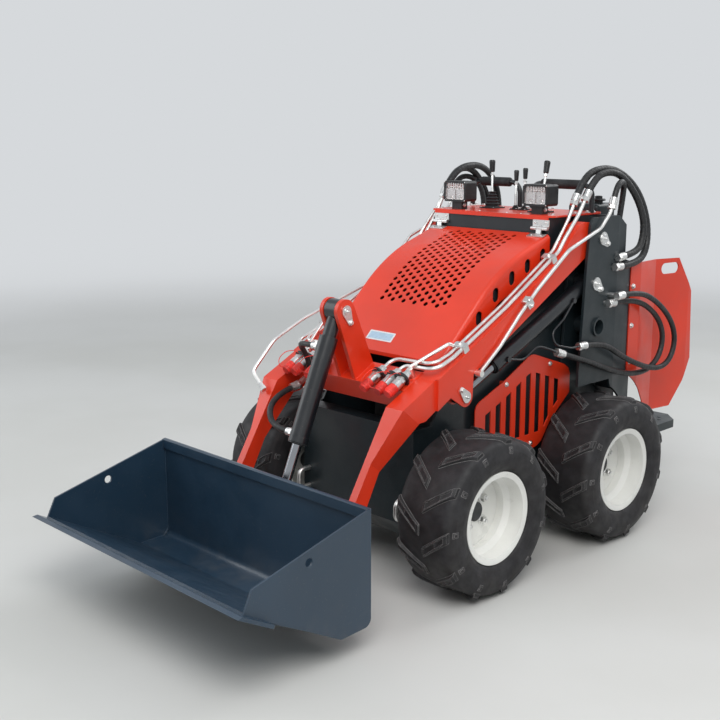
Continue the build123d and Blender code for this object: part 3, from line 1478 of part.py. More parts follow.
# Rear shields: bent sheets with a hand slot
with BuildPart() as shields:
    with BuildSketch(Plane.XY.offset(300)):
        with BuildLine():
            shield_edge = offset_path(shield_plan, -shield_sheet)
            Polyline(*shield_plan, *shield_edge[::-1], close=True)
        make_face()
    extrude(amount=700)
    side_plate(shield_outline, shield_waist_x - 50, 140, mode=Mode.INTERSECT)
    with BuildSketch(Plane.YZ.offset(shield_waist_x - 50)) as handle_slot:
        with Locations(shield_handle):
            SlotOverall(shield_handle_length, shield_handle_height)
    extrude(handle_slot.sketch, amount=140, mode=Mode.SUBTRACT)
    mirror(about=Plane.YZ)
finish(shields, "shields")

# Standing platform: a tray with turned-down edges and two hanging brackets
with BuildPart() as platform:
    platform_points = [
        (-platform_half_width, platform_front_y),
        (platform_half_width, platform_front_y),
        (platform_half_width, platform_rear_y - platform_corner),
        (platform_half_width - platform_corner, platform_rear_y),
        (platform_corner - platform_half_width, platform_rear_y),
        (-platform_half_width, platform_rear_y - platform_corner),
    ]
    with BuildSketch(Plane.XY.offset(platform_top_z)) as platform_outline:
        with BuildLine():
            Polyline(*platform_points, close=True)
        make_face()
    extrude(platform_outline.sketch, amount=-platform_lip)
    with BuildSketch(Plane.XY.offset(platform_top_z - platform_sheet)) as platform_inside:
        with BuildLine():
            Polyline(*offset_path(platform_points + platform_points[:2], platform_sheet)[1:-1], close=True)
        make_face()
    extrude(platform_inside.sketch, amount=-platform_lip, mode=Mode.SUBTRACT)
    for bracket_x in (-180, 180):
        block(
            (bracket_x - 30, bracket_x + 30),
            (frame_rear_y, platform_front_y + 1),
            (platform_top_z - 70, platform_top_z),
        )
        block(
            (bracket_x - 5, bracket_x + 5),
            (frame_rear_y, platform_front_y + 160),
            (platform_top_z - 70, platform_top_z - 5),
        )
finish(platform, "platform")

# Tie-down staples on the frame's nose
with BuildPart() as tie_hooks:
    hook_route = [
        (hook_x, frame_front_y, hook_z[1]),
        (hook_x, frame_front_y - hook_reach, hook_z[1]),
        (hook_x, frame_front_y - hook_reach, hook_z[0]),
        (hook_x, frame_front_y, hook_z[0]),
    ]
    tube(hook_route, hook_radius, 24)
    mirror(about=Plane.YZ)
finish(tie_hooks, "tie_hooks")

# Hose ports on the towers
with BuildPart() as hose_ports:
    for route in tower_routes:
        sleeve_on(route)
        corner = sleeve_root(route, sleeve_length - 10)
        foot = (tower_outer_x + tower_plate, corner[1], corner[2])
        if route is tower_routes[-1]:
            foot = (corner[0], tower_web_y, corner[2])
        bar(foot, corner, 9)
    mirror(about=Plane.YZ)
finish(hose_ports, "hose_ports")

# Hoses: each starts and ends square on the face of its fitting
for hose_name, hose_route in hose_table.items():
    with BuildPart() as hose_left:
        turns = tube(hose_route, hose_radius, 400)
    finish(hose_left, hose_name + "_left")
    runs = [(Vector(*b) - Vector(*a)).length for a, b in zip(hose_route, hose_route[1:])]
    print(hose_name, "radii", [round(turn) for turn in turns], "runs", [round(run) for run in runs])
    with BuildPart() as hose_right:
        tube(flipped(hose_route), hose_radius, 400)
    finish(hose_right, hose_name + "_right")
for hose_name, hose_route in tilt_hose_table.items():
    with BuildPart() as tilt_hose:
        turns = tube(hose_route, hose_radius, 400)
    finish(tilt_hose, hose_name)
    runs = [(Vector(*b) - Vector(*a)).length for a, b in zip(hose_route, hose_route[1:])]
    print(hose_name, "radii", [round(turn) for turn in turns], "runs", [round(run) for run in runs])
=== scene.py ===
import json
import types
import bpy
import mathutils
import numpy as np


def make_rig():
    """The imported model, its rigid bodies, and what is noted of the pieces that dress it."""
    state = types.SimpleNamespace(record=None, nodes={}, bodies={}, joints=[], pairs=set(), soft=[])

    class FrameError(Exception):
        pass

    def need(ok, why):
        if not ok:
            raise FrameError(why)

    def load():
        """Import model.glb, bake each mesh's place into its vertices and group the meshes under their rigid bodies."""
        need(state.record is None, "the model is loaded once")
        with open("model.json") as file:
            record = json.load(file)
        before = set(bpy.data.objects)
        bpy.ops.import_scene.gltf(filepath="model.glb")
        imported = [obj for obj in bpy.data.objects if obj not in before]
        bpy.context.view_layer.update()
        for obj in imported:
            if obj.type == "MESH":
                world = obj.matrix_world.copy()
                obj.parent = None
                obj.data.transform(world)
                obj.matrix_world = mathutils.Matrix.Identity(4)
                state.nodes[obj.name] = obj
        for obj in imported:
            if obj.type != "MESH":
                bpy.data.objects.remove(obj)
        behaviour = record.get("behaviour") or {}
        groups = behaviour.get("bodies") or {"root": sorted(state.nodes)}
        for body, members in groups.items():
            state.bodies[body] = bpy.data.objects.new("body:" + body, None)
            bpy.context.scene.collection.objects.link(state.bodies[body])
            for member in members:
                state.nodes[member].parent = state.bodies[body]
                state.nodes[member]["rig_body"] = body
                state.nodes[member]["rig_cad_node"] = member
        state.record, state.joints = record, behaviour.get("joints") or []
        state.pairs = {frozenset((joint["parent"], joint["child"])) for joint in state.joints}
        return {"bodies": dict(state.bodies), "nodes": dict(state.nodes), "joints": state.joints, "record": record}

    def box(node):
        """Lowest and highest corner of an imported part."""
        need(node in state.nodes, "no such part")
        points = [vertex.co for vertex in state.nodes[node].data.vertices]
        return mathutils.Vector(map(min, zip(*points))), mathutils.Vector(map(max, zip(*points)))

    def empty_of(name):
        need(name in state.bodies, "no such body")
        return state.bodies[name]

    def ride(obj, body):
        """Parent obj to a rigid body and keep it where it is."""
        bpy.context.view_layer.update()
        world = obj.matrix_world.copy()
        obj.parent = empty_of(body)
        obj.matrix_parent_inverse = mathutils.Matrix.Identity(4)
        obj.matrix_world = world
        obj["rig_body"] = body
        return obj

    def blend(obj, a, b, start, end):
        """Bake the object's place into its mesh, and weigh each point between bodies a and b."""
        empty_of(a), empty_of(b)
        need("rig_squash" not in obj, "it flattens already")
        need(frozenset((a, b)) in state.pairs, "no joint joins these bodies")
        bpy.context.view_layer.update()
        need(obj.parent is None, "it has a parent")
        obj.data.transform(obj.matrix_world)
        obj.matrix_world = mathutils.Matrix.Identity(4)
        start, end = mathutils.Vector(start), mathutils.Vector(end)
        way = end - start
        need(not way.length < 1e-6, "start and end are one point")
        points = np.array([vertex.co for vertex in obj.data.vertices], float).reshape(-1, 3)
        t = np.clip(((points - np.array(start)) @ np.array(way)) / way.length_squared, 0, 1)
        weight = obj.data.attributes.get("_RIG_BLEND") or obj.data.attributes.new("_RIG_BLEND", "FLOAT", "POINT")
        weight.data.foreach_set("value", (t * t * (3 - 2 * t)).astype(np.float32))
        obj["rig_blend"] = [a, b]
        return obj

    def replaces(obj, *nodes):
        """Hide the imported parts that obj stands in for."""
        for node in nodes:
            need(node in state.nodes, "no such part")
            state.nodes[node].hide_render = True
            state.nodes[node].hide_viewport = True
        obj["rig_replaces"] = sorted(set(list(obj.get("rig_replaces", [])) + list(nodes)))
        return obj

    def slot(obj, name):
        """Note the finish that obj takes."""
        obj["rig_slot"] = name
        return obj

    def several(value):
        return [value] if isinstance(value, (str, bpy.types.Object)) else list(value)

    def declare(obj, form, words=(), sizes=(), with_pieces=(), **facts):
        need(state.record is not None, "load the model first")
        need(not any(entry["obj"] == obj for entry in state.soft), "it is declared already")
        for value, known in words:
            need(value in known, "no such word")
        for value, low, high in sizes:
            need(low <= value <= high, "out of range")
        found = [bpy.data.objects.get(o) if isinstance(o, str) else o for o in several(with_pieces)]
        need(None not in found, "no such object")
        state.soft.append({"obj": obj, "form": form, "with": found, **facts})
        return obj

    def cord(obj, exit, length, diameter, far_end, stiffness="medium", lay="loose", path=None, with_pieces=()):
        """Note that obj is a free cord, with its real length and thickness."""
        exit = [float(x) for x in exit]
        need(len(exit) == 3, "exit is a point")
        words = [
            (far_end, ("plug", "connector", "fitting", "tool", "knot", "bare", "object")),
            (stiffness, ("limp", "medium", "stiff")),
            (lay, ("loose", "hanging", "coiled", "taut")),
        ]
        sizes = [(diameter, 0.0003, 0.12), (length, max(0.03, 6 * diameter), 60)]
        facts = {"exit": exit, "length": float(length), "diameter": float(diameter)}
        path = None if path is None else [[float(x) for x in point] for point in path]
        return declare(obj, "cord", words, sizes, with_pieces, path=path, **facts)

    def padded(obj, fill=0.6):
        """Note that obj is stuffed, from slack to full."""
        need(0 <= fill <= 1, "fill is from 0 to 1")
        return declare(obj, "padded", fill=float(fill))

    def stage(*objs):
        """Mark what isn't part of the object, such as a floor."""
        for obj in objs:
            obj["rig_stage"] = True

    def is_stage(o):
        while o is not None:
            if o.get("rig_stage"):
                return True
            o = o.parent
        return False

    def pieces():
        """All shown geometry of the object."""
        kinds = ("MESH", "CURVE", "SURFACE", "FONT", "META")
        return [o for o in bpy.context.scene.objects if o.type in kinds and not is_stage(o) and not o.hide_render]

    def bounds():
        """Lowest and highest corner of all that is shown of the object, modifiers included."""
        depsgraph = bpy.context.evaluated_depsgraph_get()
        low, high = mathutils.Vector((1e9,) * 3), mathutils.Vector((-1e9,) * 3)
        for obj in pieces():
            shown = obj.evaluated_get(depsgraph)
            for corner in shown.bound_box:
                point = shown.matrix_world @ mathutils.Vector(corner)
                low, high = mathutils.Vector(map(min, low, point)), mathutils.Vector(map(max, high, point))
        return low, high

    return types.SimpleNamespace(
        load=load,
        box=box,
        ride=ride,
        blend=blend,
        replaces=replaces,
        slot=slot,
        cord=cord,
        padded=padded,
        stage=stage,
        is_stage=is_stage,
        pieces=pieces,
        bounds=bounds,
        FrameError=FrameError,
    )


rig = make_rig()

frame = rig.load()
cad_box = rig.bounds()

import json
from math import cos, pi, radians, sin
from random import Random

import bmesh
import bpy
from mathutils import Vector

# A compact stand-on skid steer loader, dressed and lit. Metres; X to its left, Y to its back, Z up.
nodes = frame["nodes"]
sides = {"left": 1, "right": -1}

# Camera, worked out from the photograph
image_size = 720
focal_px = 1088.28
principal_y_px = 350.17
sensor_width = 36.0
camera_place = (2.3706, -2.6281, 1.3642)
camera_turn = radians(45.6)
camera_pitch = radians(11.368)

# Wheels
wheel_x = 0.391
wheel_y = {"front": -0.212, "rear": 0.462}
wheel_z = 0.248
tyre_radius = 0.248
lug_count = 11
stud_circle = 0.0508
valve_circle = 0.092
wheel_centres = {
    end + "_" + side: Vector((wheel_x * sign, y, wheel_z))
    for end, y in wheel_y.items() for side, sign in sides.items()
}


def camera():
    """Camera at the photograph's viewing angle."""
    data = bpy.data.cameras.new("camera")
    data.sensor_width = sensor_width
    data.lens = focal_px / image_size * sensor_width
    data.shift_y = (principal_y_px - image_size / 2) / image_size
    view = bpy.data.objects.new("camera", data)
    view.location = camera_place
    view.rotation_euler = (pi / 2 - camera_pitch, 0, camera_turn)
    bpy.context.scene.collection.objects.link(view)
    bpy.context.scene.camera = view


camera()


class Shade:
    """A procedural material, with a method for each kind of node that it needs."""

    def __init__(self, name, **sockets):
        self.material = bpy.data.materials.new(name)
        self.material.use_nodes = True
        self.tree = self.material.node_tree
        self.surface = self.tree.nodes["Principled BSDF"]
        for socket, value in sockets.items():
            self.surface.inputs[socket.replace("_", " ")].default_value = value
        self.place = self.node("ShaderNodeTexCoord").outputs["Object"]

    def node(self, kind, **settings):
        made = self.tree.nodes.new(kind)
        for setting, value in settings.items():
            setattr(made, setting, value)
        return made

    def feed(self, socket, value):
        if isinstance(value, bpy.types.NodeSocket):
            self.tree.links.new(value, socket)
        else:
            socket.default_value = value

    def noise(self, scale, detail=3.0, rough=0.5):
        """Noise from 0 to 1."""
        texture = self.node("ShaderNodeTexNoise")
        texture.inputs["Scale"].default_value = scale
        texture.inputs["Detail"].default_value = detail
        texture.inputs["Roughness"].default_value = rough
        self.feed(texture.inputs["Vector"], self.place)
        return texture.outputs["Fac"]

    def cells(self, scale):
        texture = self.node("ShaderNodeTexVoronoi")
        texture.inputs["Scale"].default_value = scale
        self.feed(texture.inputs["Vector"], self.place)
        return texture.outputs["Distance"]

    def span(self, value, low, high, to_low=0.0, to_high=1.0):
        """Smooth step of a value between two limits."""
        step = self.node("ShaderNodeMapRange", interpolation_type="SMOOTHSTEP")
        for socket, number in zip(step.inputs, (value, low, high, to_low, to_high)):
            self.feed(socket, number)
        return step.outputs["Result"]

    def math(self, operation, first, second):
        made = self.node("ShaderNodeMath", operation=operation)
        self.feed(made.inputs[0], first)
        self.feed(made.inputs[1], second)
        return made.outputs["Value"]

    def mix(self, share, first, second):
        made = self.node("ShaderNodeMix", data_type="RGBA")
        self.feed(made.inputs["Factor"], share)
        self.feed(made.inputs["A"], first)
        self.feed(made.inputs["B"], second)
        return made.outputs["Result"]

    def height(self):
        split = self.node("ShaderNodeSeparateXYZ")
        self.feed(split.inputs[0], self.place)
        return split.outputs["Z"]

    def round_edges(self, radius):
        made = self.node("ShaderNodeBevel", samples=4)
        made.inputs["Radius"].default_value = radius
        return made.outputs["Normal"]

    def edges(self, radius):
        """1 along edges and 0 on the flat."""
        face = self.node("ShaderNodeNewGeometry").outputs["Normal"]
        dot = self.node("ShaderNodeVectorMath", operation="DOT_PRODUCT")
        self.feed(dot.inputs[0], self.round_edges(radius))
        self.feed(dot.inputs[1], face)
        return self.span(dot.outputs["Value"], 0.995, 0.8)

    def bump(self, height, depth, strength, normal=None):
        made = self.node("ShaderNodeBump")
        made.inputs["Strength"].default_value = strength
        made.inputs["Distance"].default_value = depth
        self.feed(made.inputs["Height"], height)
        if normal:
            self.feed(made.inputs["Normal"], normal)
        return made.outputs["Normal"]

    def finish(self, **sockets):
        for socket, value in sockets.items():
            self.feed(self.surface.inputs[socket.replace("_", " ")], value)
        return self.material


def linear(red, green, blue):
    """A colour given in display values from 0 to 255."""
    values = []
    for level in (red, green, blue):
        share = level / 255
        values.append(share / 12.92 if share < 0.04045 else ((share + 0.055) / 1.055) ** 2.4)
    return (*values, 1.0)


dust_colour = linear(150, 138, 122)


def paint(
    name, colour, roughness, coat, dust=0.35, dust_top=0.3, wear=0.0, wear_colour=linear(90, 84, 80),
):
    """Sprayed enamel: slight mottling, orange peel, dust low down, chipped edges."""
    s = Shade(name, Coat_Weight=coat, Coat_Roughness=0.16)
    dark = tuple(level * 0.86 for level in colour[:3]) + (1.0,)
    tint = s.mix(s.span(s.noise(3.5, 4.0), 0.35, 0.65), dark, colour)
    low = s.span(s.height(), dust_top, 0.02)
    patches = s.span(s.noise(9.0, 6.0, 0.65), 0.42, 0.72)
    film = s.math("MULTIPLY", s.math("MULTIPLY", low, patches), dust)
    specks = s.span(s.noise(160.0, 2.0), 0.66, 0.74)
    film = s.math("MAXIMUM", film, s.math("MULTIPLY", specks, 0.1))
    body = s.mix(film, tint, dust_colour)
    if wear:
        rubbed = s.span(s.noise(38.0, 5.0, 0.7), 0.6 - 0.12 * wear, 0.7)
        chips = s.math("MULTIPLY", s.edges(0.0025), rubbed)
        body = s.mix(chips, body, wear_colour)
    rough = s.span(s.noise(14.0, 3.0), 0.3, 0.7, roughness * 0.85, roughness * 1.25)
    peel = s.bump(s.noise(420.0, 2.0), 0.00006, 0.5, s.round_edges(0.0014))
    return s.finish(Base_Color=body, Roughness=rough, Normal=peel)


def rubber(name, colour, roughness, dust, grain=900.0, dust_top=0.5, edge=None):
    """Moulded rubber or soft plastic with a fine grain and pale dust, with a painted highlight along its edges."""
    s = Shade(name)
    pale = tuple(level * 1.9 + 0.006 for level in colour[:3]) + (1.0,)
    tint = s.mix(s.span(s.noise(24.0, 5.0, 0.6), 0.35, 0.72), colour, pale)
    film = s.math("MULTIPLY", s.span(s.noise(11.0, 6.0, 0.7), 0.4, 0.8), dust)
    film = s.math("MULTIPLY", film, s.span(s.height(), dust_top, 0.0, 0.35, 1.0))
    grains = s.bump(s.noise(grain, 2.0), 0.00012, 0.6, s.round_edges(0.0008))
    rough = s.span(s.noise(30.0), 0.3, 0.7, roughness - 0.08, roughness + 0.08)
    body = s.mix(film, tint, dust_colour)
    # edge is the colour of a painted highlight laid along the edges, where light catches them
    if edge:
        painted_edge_highlight = s.math("MULTIPLY", s.edges(0.0034), s.span(s.noise(45.0), 0.3, 0.6, 0.55, 1.0))
        body = s.mix(painted_edge_highlight, body, edge)
    return s.finish(Base_Color=body, Roughness=rough, Normal=grains)


def metal(name, colour, roughness, mottle, grain):
    """Bare or plated metal, slightly mottled."""
    s = Shade(name, Metallic=1.0)
    dull = tuple(level * (1 - mottle) for level in colour[:3]) + (1.0,)
    tint = s.mix(s.span(s.noise(grain, 5.0, 0.6), 0.35, 0.65), dull, colour)
    rough = s.span(s.noise(grain * 1.7, 4.0, 0.6), 0.3, 0.7, roughness * 0.75, roughness * 1.35)
    fine = s.bump(s.noise(grain * 9, 2.0), 0.00003, 0.2, s.round_edges(0.0006))
    return s.finish(Base_Color=tint, Roughness=rough, Normal=fine)


red_colour = linear(233, 56, 22)
looks = {
    "red": paint("red_enamel", red_colour, 0.36, 0.3, wear=0.5, wear_colour=linear(150, 40, 28)),
    "dark": paint("dark_enamel", linear(30, 41, 46), 0.44, 0.15, dust=0.2, wear=0.4),
    "black": paint("black_enamel", linear(22, 26, 31), 0.34, 0.4, dust=0.1),
    "bucket": paint("bucket_enamel", linear(37, 60, 80), 0.36, 0.35, dust=0.14, dust_top=0.2, wear=0.8),
    "white": paint("white_enamel", linear(244, 244, 240), 0.32, 0.5, dust=0.05, dust_top=0.6),
    # The tyre's pale edge colour is a painted highlight along the lug edges
    "tyre": rubber("tyre_rubber", linear(23, 22, 25), 0.62, 0.06, edge=linear(128, 126, 126)),
    "soft": rubber("soft_rubber", linear(24, 25, 28), 0.7, 0.1, 500.0),
    "plastic": rubber("black_plastic", linear(20, 21, 24), 0.42, 0.05, 1400.0),
    "cap": rubber("red_cap_rubber", linear(206, 50, 42), 0.45, 0.04, 700.0),
    "hose": rubber("hose_cover", linear(25, 26, 28), 0.5, 0.12, 700.0),
    "iron": rubber("engine_iron", linear(40, 42, 44), 0.6, 0.3, 120.0),
    "zinc": metal("zinc_plate", (0.8, 0.8, 0.79, 1), 0.34, 0.1, 35.0),
    "pipe": metal("plated_pipe", (0.93, 0.92, 0.9, 1), 0.36, 0.05, 14.0),
    "chrome": metal("hard_chrome", (0.34, 0.35, 0.37, 1), 0.14, 0.05, 20.0),
}


def lens_glass():
    s = Shade("lamp_glass", Transmission_Weight=1.0, IOR=1.46)
    smudge = s.span(s.noise(35.0, 4.0), 0.4, 0.8, 0.02, 0.1)
    return s.finish(Base_Color=(0.96, 0.98, 1.0, 1.0), Roughness=smudge)


def reflector():
    s = Shade("lamp_reflector", Metallic=1.0)
    facets = s.bump(s.noise(500.0, 1.0), 0.0001, 0.3)
    tint = s.mix(s.noise(80.0), (0.82, 0.74, 0.71, 1), (0.68, 0.61, 0.58, 1))
    return s.finish(Base_Color=tint, Roughness=s.span(s.noise(60.0), 0.3, 0.7, 0.22, 0.38), Normal=facets)


def diode():
    s = Shade("lamp_diode")
    tint = s.mix(s.span(s.cells(700.0), 0.2, 0.5), linear(232, 224, 210), linear(248, 244, 236))
    return s.finish(Base_Color=tint, Roughness=s.span(s.noise(90.0), 0.3, 0.7, 0.25, 0.4))


def label_plate(name, colour):
    """Printed plate without any marking."""
    s = Shade(name, Coat_Weight=0.4, Coat_Roughness=0.05)
    dull = tuple(level * 0.9 for level in colour[:3]) + (1.0,)
    tint = s.mix(s.span(s.noise(60.0, 4.0), 0.4, 0.7), colour, dull)
    return s.finish(Base_Color=tint, Roughness=s.span(s.noise(90.0), 0.3, 0.7, 0.25, 0.4))


looks["glass"] = lens_glass()
looks["mirror"] = reflector()
looks["diode"] = diode()
looks["label"] = label_plate("blank_plate", linear(230, 232, 234))
looks["field"] = label_plate("blank_field", linear(176, 204, 226))

node_looks = {
    "red": ("boom_arms", "cross_member", "hood", "console_top", "side_panels", "shields"),
    "dark": ("chassis", "towers", "console_box", "platform", "quick_attach"),
    "black": ("lift_barrels", "tilt_barrel", "coupler_brackets", "lift_pipes"),
    "bucket": ("bucket",),
    "white": tuple("rim_" + corner for corner in wheel_centres),
    "zinc": (
        "tower_pins", "boom_pins", "pipe_clamps", "couplers", "hose_ports", "hinge_flaps", "hinge_leaves",
    ),
    "pipe": ("boom_pipes", "tie_hooks"),
    "chrome": ("lift_rods", "tilt_rod"),
    "iron": ("engine_block", "axle_housings"),
    "plastic": ("filler_cap", "levers", "lamp_housings"),
    "cap": ("dust_caps",),
    "soft": ("lever_boots", "hand_rails"),
    "glass": ("lamp_lenses",),
    "tyre": tuple("tyre_" + corner for corner in wheel_centres),
}
for look_name, node_names in node_looks.items():
    for node_name in node_names:
        for material_slot in nodes[node_name].material_slots:
            material_slot.material = looks[look_name]

slot_names = {
    "red": "paint_red",
    "dark": "paint_dark",
    "black": "paint_dark",
    "bucket": "paint_bucket",
    "white": "rim_white",
    "tyre": "tyre_rubber",
    "soft": "soft_black",
    "plastic": "black_plastic",
    "cap": "cap_red",
    "hose": "hose_black",
    "iron": "engine_iron",
    "zinc": "bare_steel",
    "pipe": "bare_steel",
    "chrome": "rod_chrome",
    "glass": "lamp_glass",
    "mirror": "rod_chrome",
    "diode": "lamp_glass",
    "label": "rim_white",
    "field": "rim_white",
}


def across(axis):
    """Two unit directions square to an axis and to each other."""
    axis = Vector(axis).normalized()
    helper = Vector((0, 0, 1)) if abs(axis.z) < 0.9 else Vector((1, 0, 0))
    first = axis.cross(helper).normalized()
    return first, axis.cross(first).normalized()


class Piece:
    """One mesh piece, built up from simple forms and then given its look and its body."""

    def __init__(self):
        self.form = bmesh.new()

    def skin(self, rings, caps=True):
        """Faces between closed rings of points; each ring has as many points."""
        made = [[self.form.verts.new(point) for point in ring] for ring in rings]
        count = len(made[0])
        for lower, upper in zip(made, made[1:]):
            for index in range(count):
                after = (index + 1) % count
                self.form.faces.new((lower[index], lower[after], upper[after], upper[index]))
        if caps:
            self.form.faces.new(made[0][::-1])
            self.form.faces.new(made[-1])
        return made

    def lathe(self, at, axis, profile, sides):
        """Turned form: profile points are (radius, distance along the axis)."""
        at = Vector(at)
        along = Vector(axis).normalized()
        first, second = across(along)
        turns = [2 * pi * step / sides for step in range(sides)]
        spokes = [first * cos(turn) + second * sin(turn) for turn in turns]
        self.skin([
            [at + along * reach + spoke * max(radius, 1e-5) for spoke in spokes] for radius, reach in profile
        ])

    def tube(self, points, radius, sides):
        """Round tube through close points; radius may be a function of the distance and the turn."""
        points = [Vector(point) for point in points]
        reach = 0.0
        rings = []
        normal = None
        for index, point in enumerate(points):
            ahead = points[min(index + 1, len(points) - 1)]
            behind = points[max(index - 1, 0)]
            way = (ahead - behind).normalized()
            if normal is None:
                normal = across(way)[0]
            normal = (normal - way * normal.dot(way)).normalized()
            other = way.cross(normal)
            if index:
                reach += (point - points[index - 1]).length
            rings.append([
                point + (normal * cos(turn) + other * sin(turn))
                * (radius(reach, turn) if callable(radius) else radius)
                for turn in (2 * pi * step / sides for step in range(sides))
            ])
        self.skin(rings)

    def slab(self, outline, thickness, at, up, bevel):
        """Plate with an outline of (x, up) points, thick from 0 along x cross up."""
        at = Vector(at)
        right = Vector((1, 0, 0))
        up = Vector(up).normalized()
        out = right.cross(up)
        middle = Vector((sum(p[0] for p in outline), sum(p[1] for p in outline))) / len(outline)
        rings = []
        for level, inset in ((0.0, 0.0), (thickness - bevel, 0.0), (thickness, bevel)):
            ring = []
            for point in outline:
                away = Vector(point) - middle
                share = 1 - inset / max(away.length, 1e-6)
                spot = middle + away * share
                ring.append(at + right * spot.x + up * spot.y + out * level)
            rings.append(ring)
        self.skin(rings)

    def box(self, low, high, bevel):
        """Block between two corners with chamfered edges."""
        made = bmesh.ops.create_cube(self.form, size=1.0)
        low, high = Vector(low), Vector(high)
        size = high - low
        for vertex in made["verts"]:
            vertex.co = (low + high) / 2 + Vector(vertex.co[i] * size[i] for i in range(3))
        edges = list(dict.fromkeys(edge for vertex in made["verts"] for edge in vertex.link_edges))
        bmesh.ops.bevel(self.form, geom=edges, offset=min(bevel, min(size) * 0.3), segments=2, affect="EDGES")

    def bolt(self, at, axis, across_flats, head, washer=0.0016):
        """Hexagon head on a washer, standing on its seat."""
        half = across_flats / 2 / cos(pi / 6)
        self.lathe(at, axis, ((half * 1.3, 0), (half * 1.3, washer * 0.8), (half * 1.22, washer)), 24)
        top = washer + head
        self.lathe(at, axis, (
            (half, washer * 0.9), (half, washer + head * 0.8), (half * 0.86, top), (half * 0.3, top),
        ), 6)

    def nut(self, at, axis, across_flats, height, stud, stud_out):
        """Hexagon nut with its stud end."""
        self.bolt(at, axis, across_flats, height, 0.0015)
        tip = height + stud_out
        self.lathe(at, axis, ((stud, height), (stud, tip), (stud * 0.8, tip + 0.001)), 16)

    def screw(self, at, axis, radius, head):
        """Low domed head."""
        self.lathe(at, axis, (
            (radius, 0), (radius * 0.92, head * 0.6), (radius * 0.6, head), (radius * 0.2, head * 1.1),
        ), 16)

    def bead(self, points, radius, seed):
        """Weld bead: a lumpy tube laid along a joint."""
        draw = Random(seed)
        step = 0.003
        spaced = resample(points, step)
        lumps = [radius * (0.85 + 0.3 * draw.random()) for _ in range(len(spaced) + 2)]
        self.tube(spaced, lambda reach, turn: lumps[min(int(reach / step + 0.5), len(lumps) - 1)], 8)

    def lug(self, spot, flank, turn):
        """Tread lug with rounded edges; spot gives a point from a radius, a half width and a turn."""
        rings = []
        for step in range(lug_stations + 1):
            half = lug_left[0][0] + (lug_left[-1][0] - lug_left[0][0]) * step / lug_stations
            left, right = table_value(lug_left, half), table_value(lug_right, half)
            drop = lug_round if step in (0, lug_stations) else 0.0
            top = lug_top - drop - lug_fall * max(0.0, (half - lug_fall_start) / lug_fall_run) ** 2
            past_shoulder = lug_flank_slope * max(0.0, half - shoulder[1])
            base = tread_reach(min(half, shoulder[1])) - lug_sink - past_shoulder
            floor = top - (0.0 if step in lug_solid_stations else lug_groove)
            rim = ((-0.0036, base), (-0.0006, top - lug_round), (0.0012, top), (0.0044, top), (0.0062, floor))
            outline = [(left + inset, level) for inset, level in rim]
            outline += [(right - inset, level) for inset, level in rim[::-1]]
            rings.append([
                spot(radius, half * flank, turn + across / tyre_radius) for across, radius in outline
            ])
        self.skin(rings)

    def shoulder_block(self, spot, flank, turn):
        """Small raised frame on the tyre's shoulder between two lugs."""
        for inset, lift in ((0.0, 0.0016), (0.004, 0.0026)):
            rings = []
            places = (
                (-0.01 + inset, -0.002), (-0.009 + inset, lift),
                (0.009 - inset, lift), (0.01 - inset, -0.002),
            )
            for radius in (shoulder_block_radii[0] + inset, shoulder_block_radii[1] - inset):
                half = side_reach(radius)
                rings.append([
                    spot(radius, (half + out) * flank, turn + across / tyre_radius) for across, out in places
                ])
            self.skin(rings)

    def mirrored(self):
        """Adds the same forms on the machine's other side."""
        form = self.form
        copy = bmesh.ops.duplicate(form, geom=form.verts[:] + form.edges[:] + form.faces[:])
        faces = [item for item in copy["geom"] if isinstance(item, bmesh.types.BMFace)]
        for item in copy["geom"]:
            if isinstance(item, bmesh.types.BMVert):
                item.co.x = -item.co.x
        bmesh.ops.reverse_faces(form, faces=faces)

    def done(self, name, look, body, sharp=32.0, replaced=()):
        """Turns the forms into an object that rides on a body."""
        bmesh.ops.recalc_face_normals(self.form, faces=self.form.faces[:])
        for face in self.form.faces:
            face.smooth = True
        for edge in self.form.edges:
            if len(edge.link_faces) == 2 and edge.calc_face_angle(0.0) > radians(sharp):
                edge.smooth = False
        mesh = bpy.data.meshes.new(name)
        self.form.to_mesh(mesh)
        self.form.free()
        made = bpy.data.objects.new(name, mesh)
        bpy.context.scene.collection.objects.link(made)
        mesh.materials.append(looks[look])
        if body:
            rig.ride(made, body)
        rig.slot(made, slot_names[look])
        if replaced:
            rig.replaces(made, *replaced)
        return made


def resample(points, step):
    """Points a given step apart along a line of points."""
    points = [Vector(point) for point in points]
    spaced = [points[0].copy()]
    left = step
    for start, end in zip(points, points[1:]):
        length = (end - start).length
        gone = 0.0
        while length - gone >= left:
            gone += left
            spaced.append(start + (end - start) * (gone / length))
            left = step
        left -= length - gone
    if (spaced[-1] - points[-1]).length > step * 0.3:
        spaced.append(points[-1].copy())
    else:
        spaced[-1] = points[-1].copy()
    return spaced


def flip(points, side):
    """Points on the left moved to the named side."""
    return [(x * sides[side], y, z) for x, y, z in points]


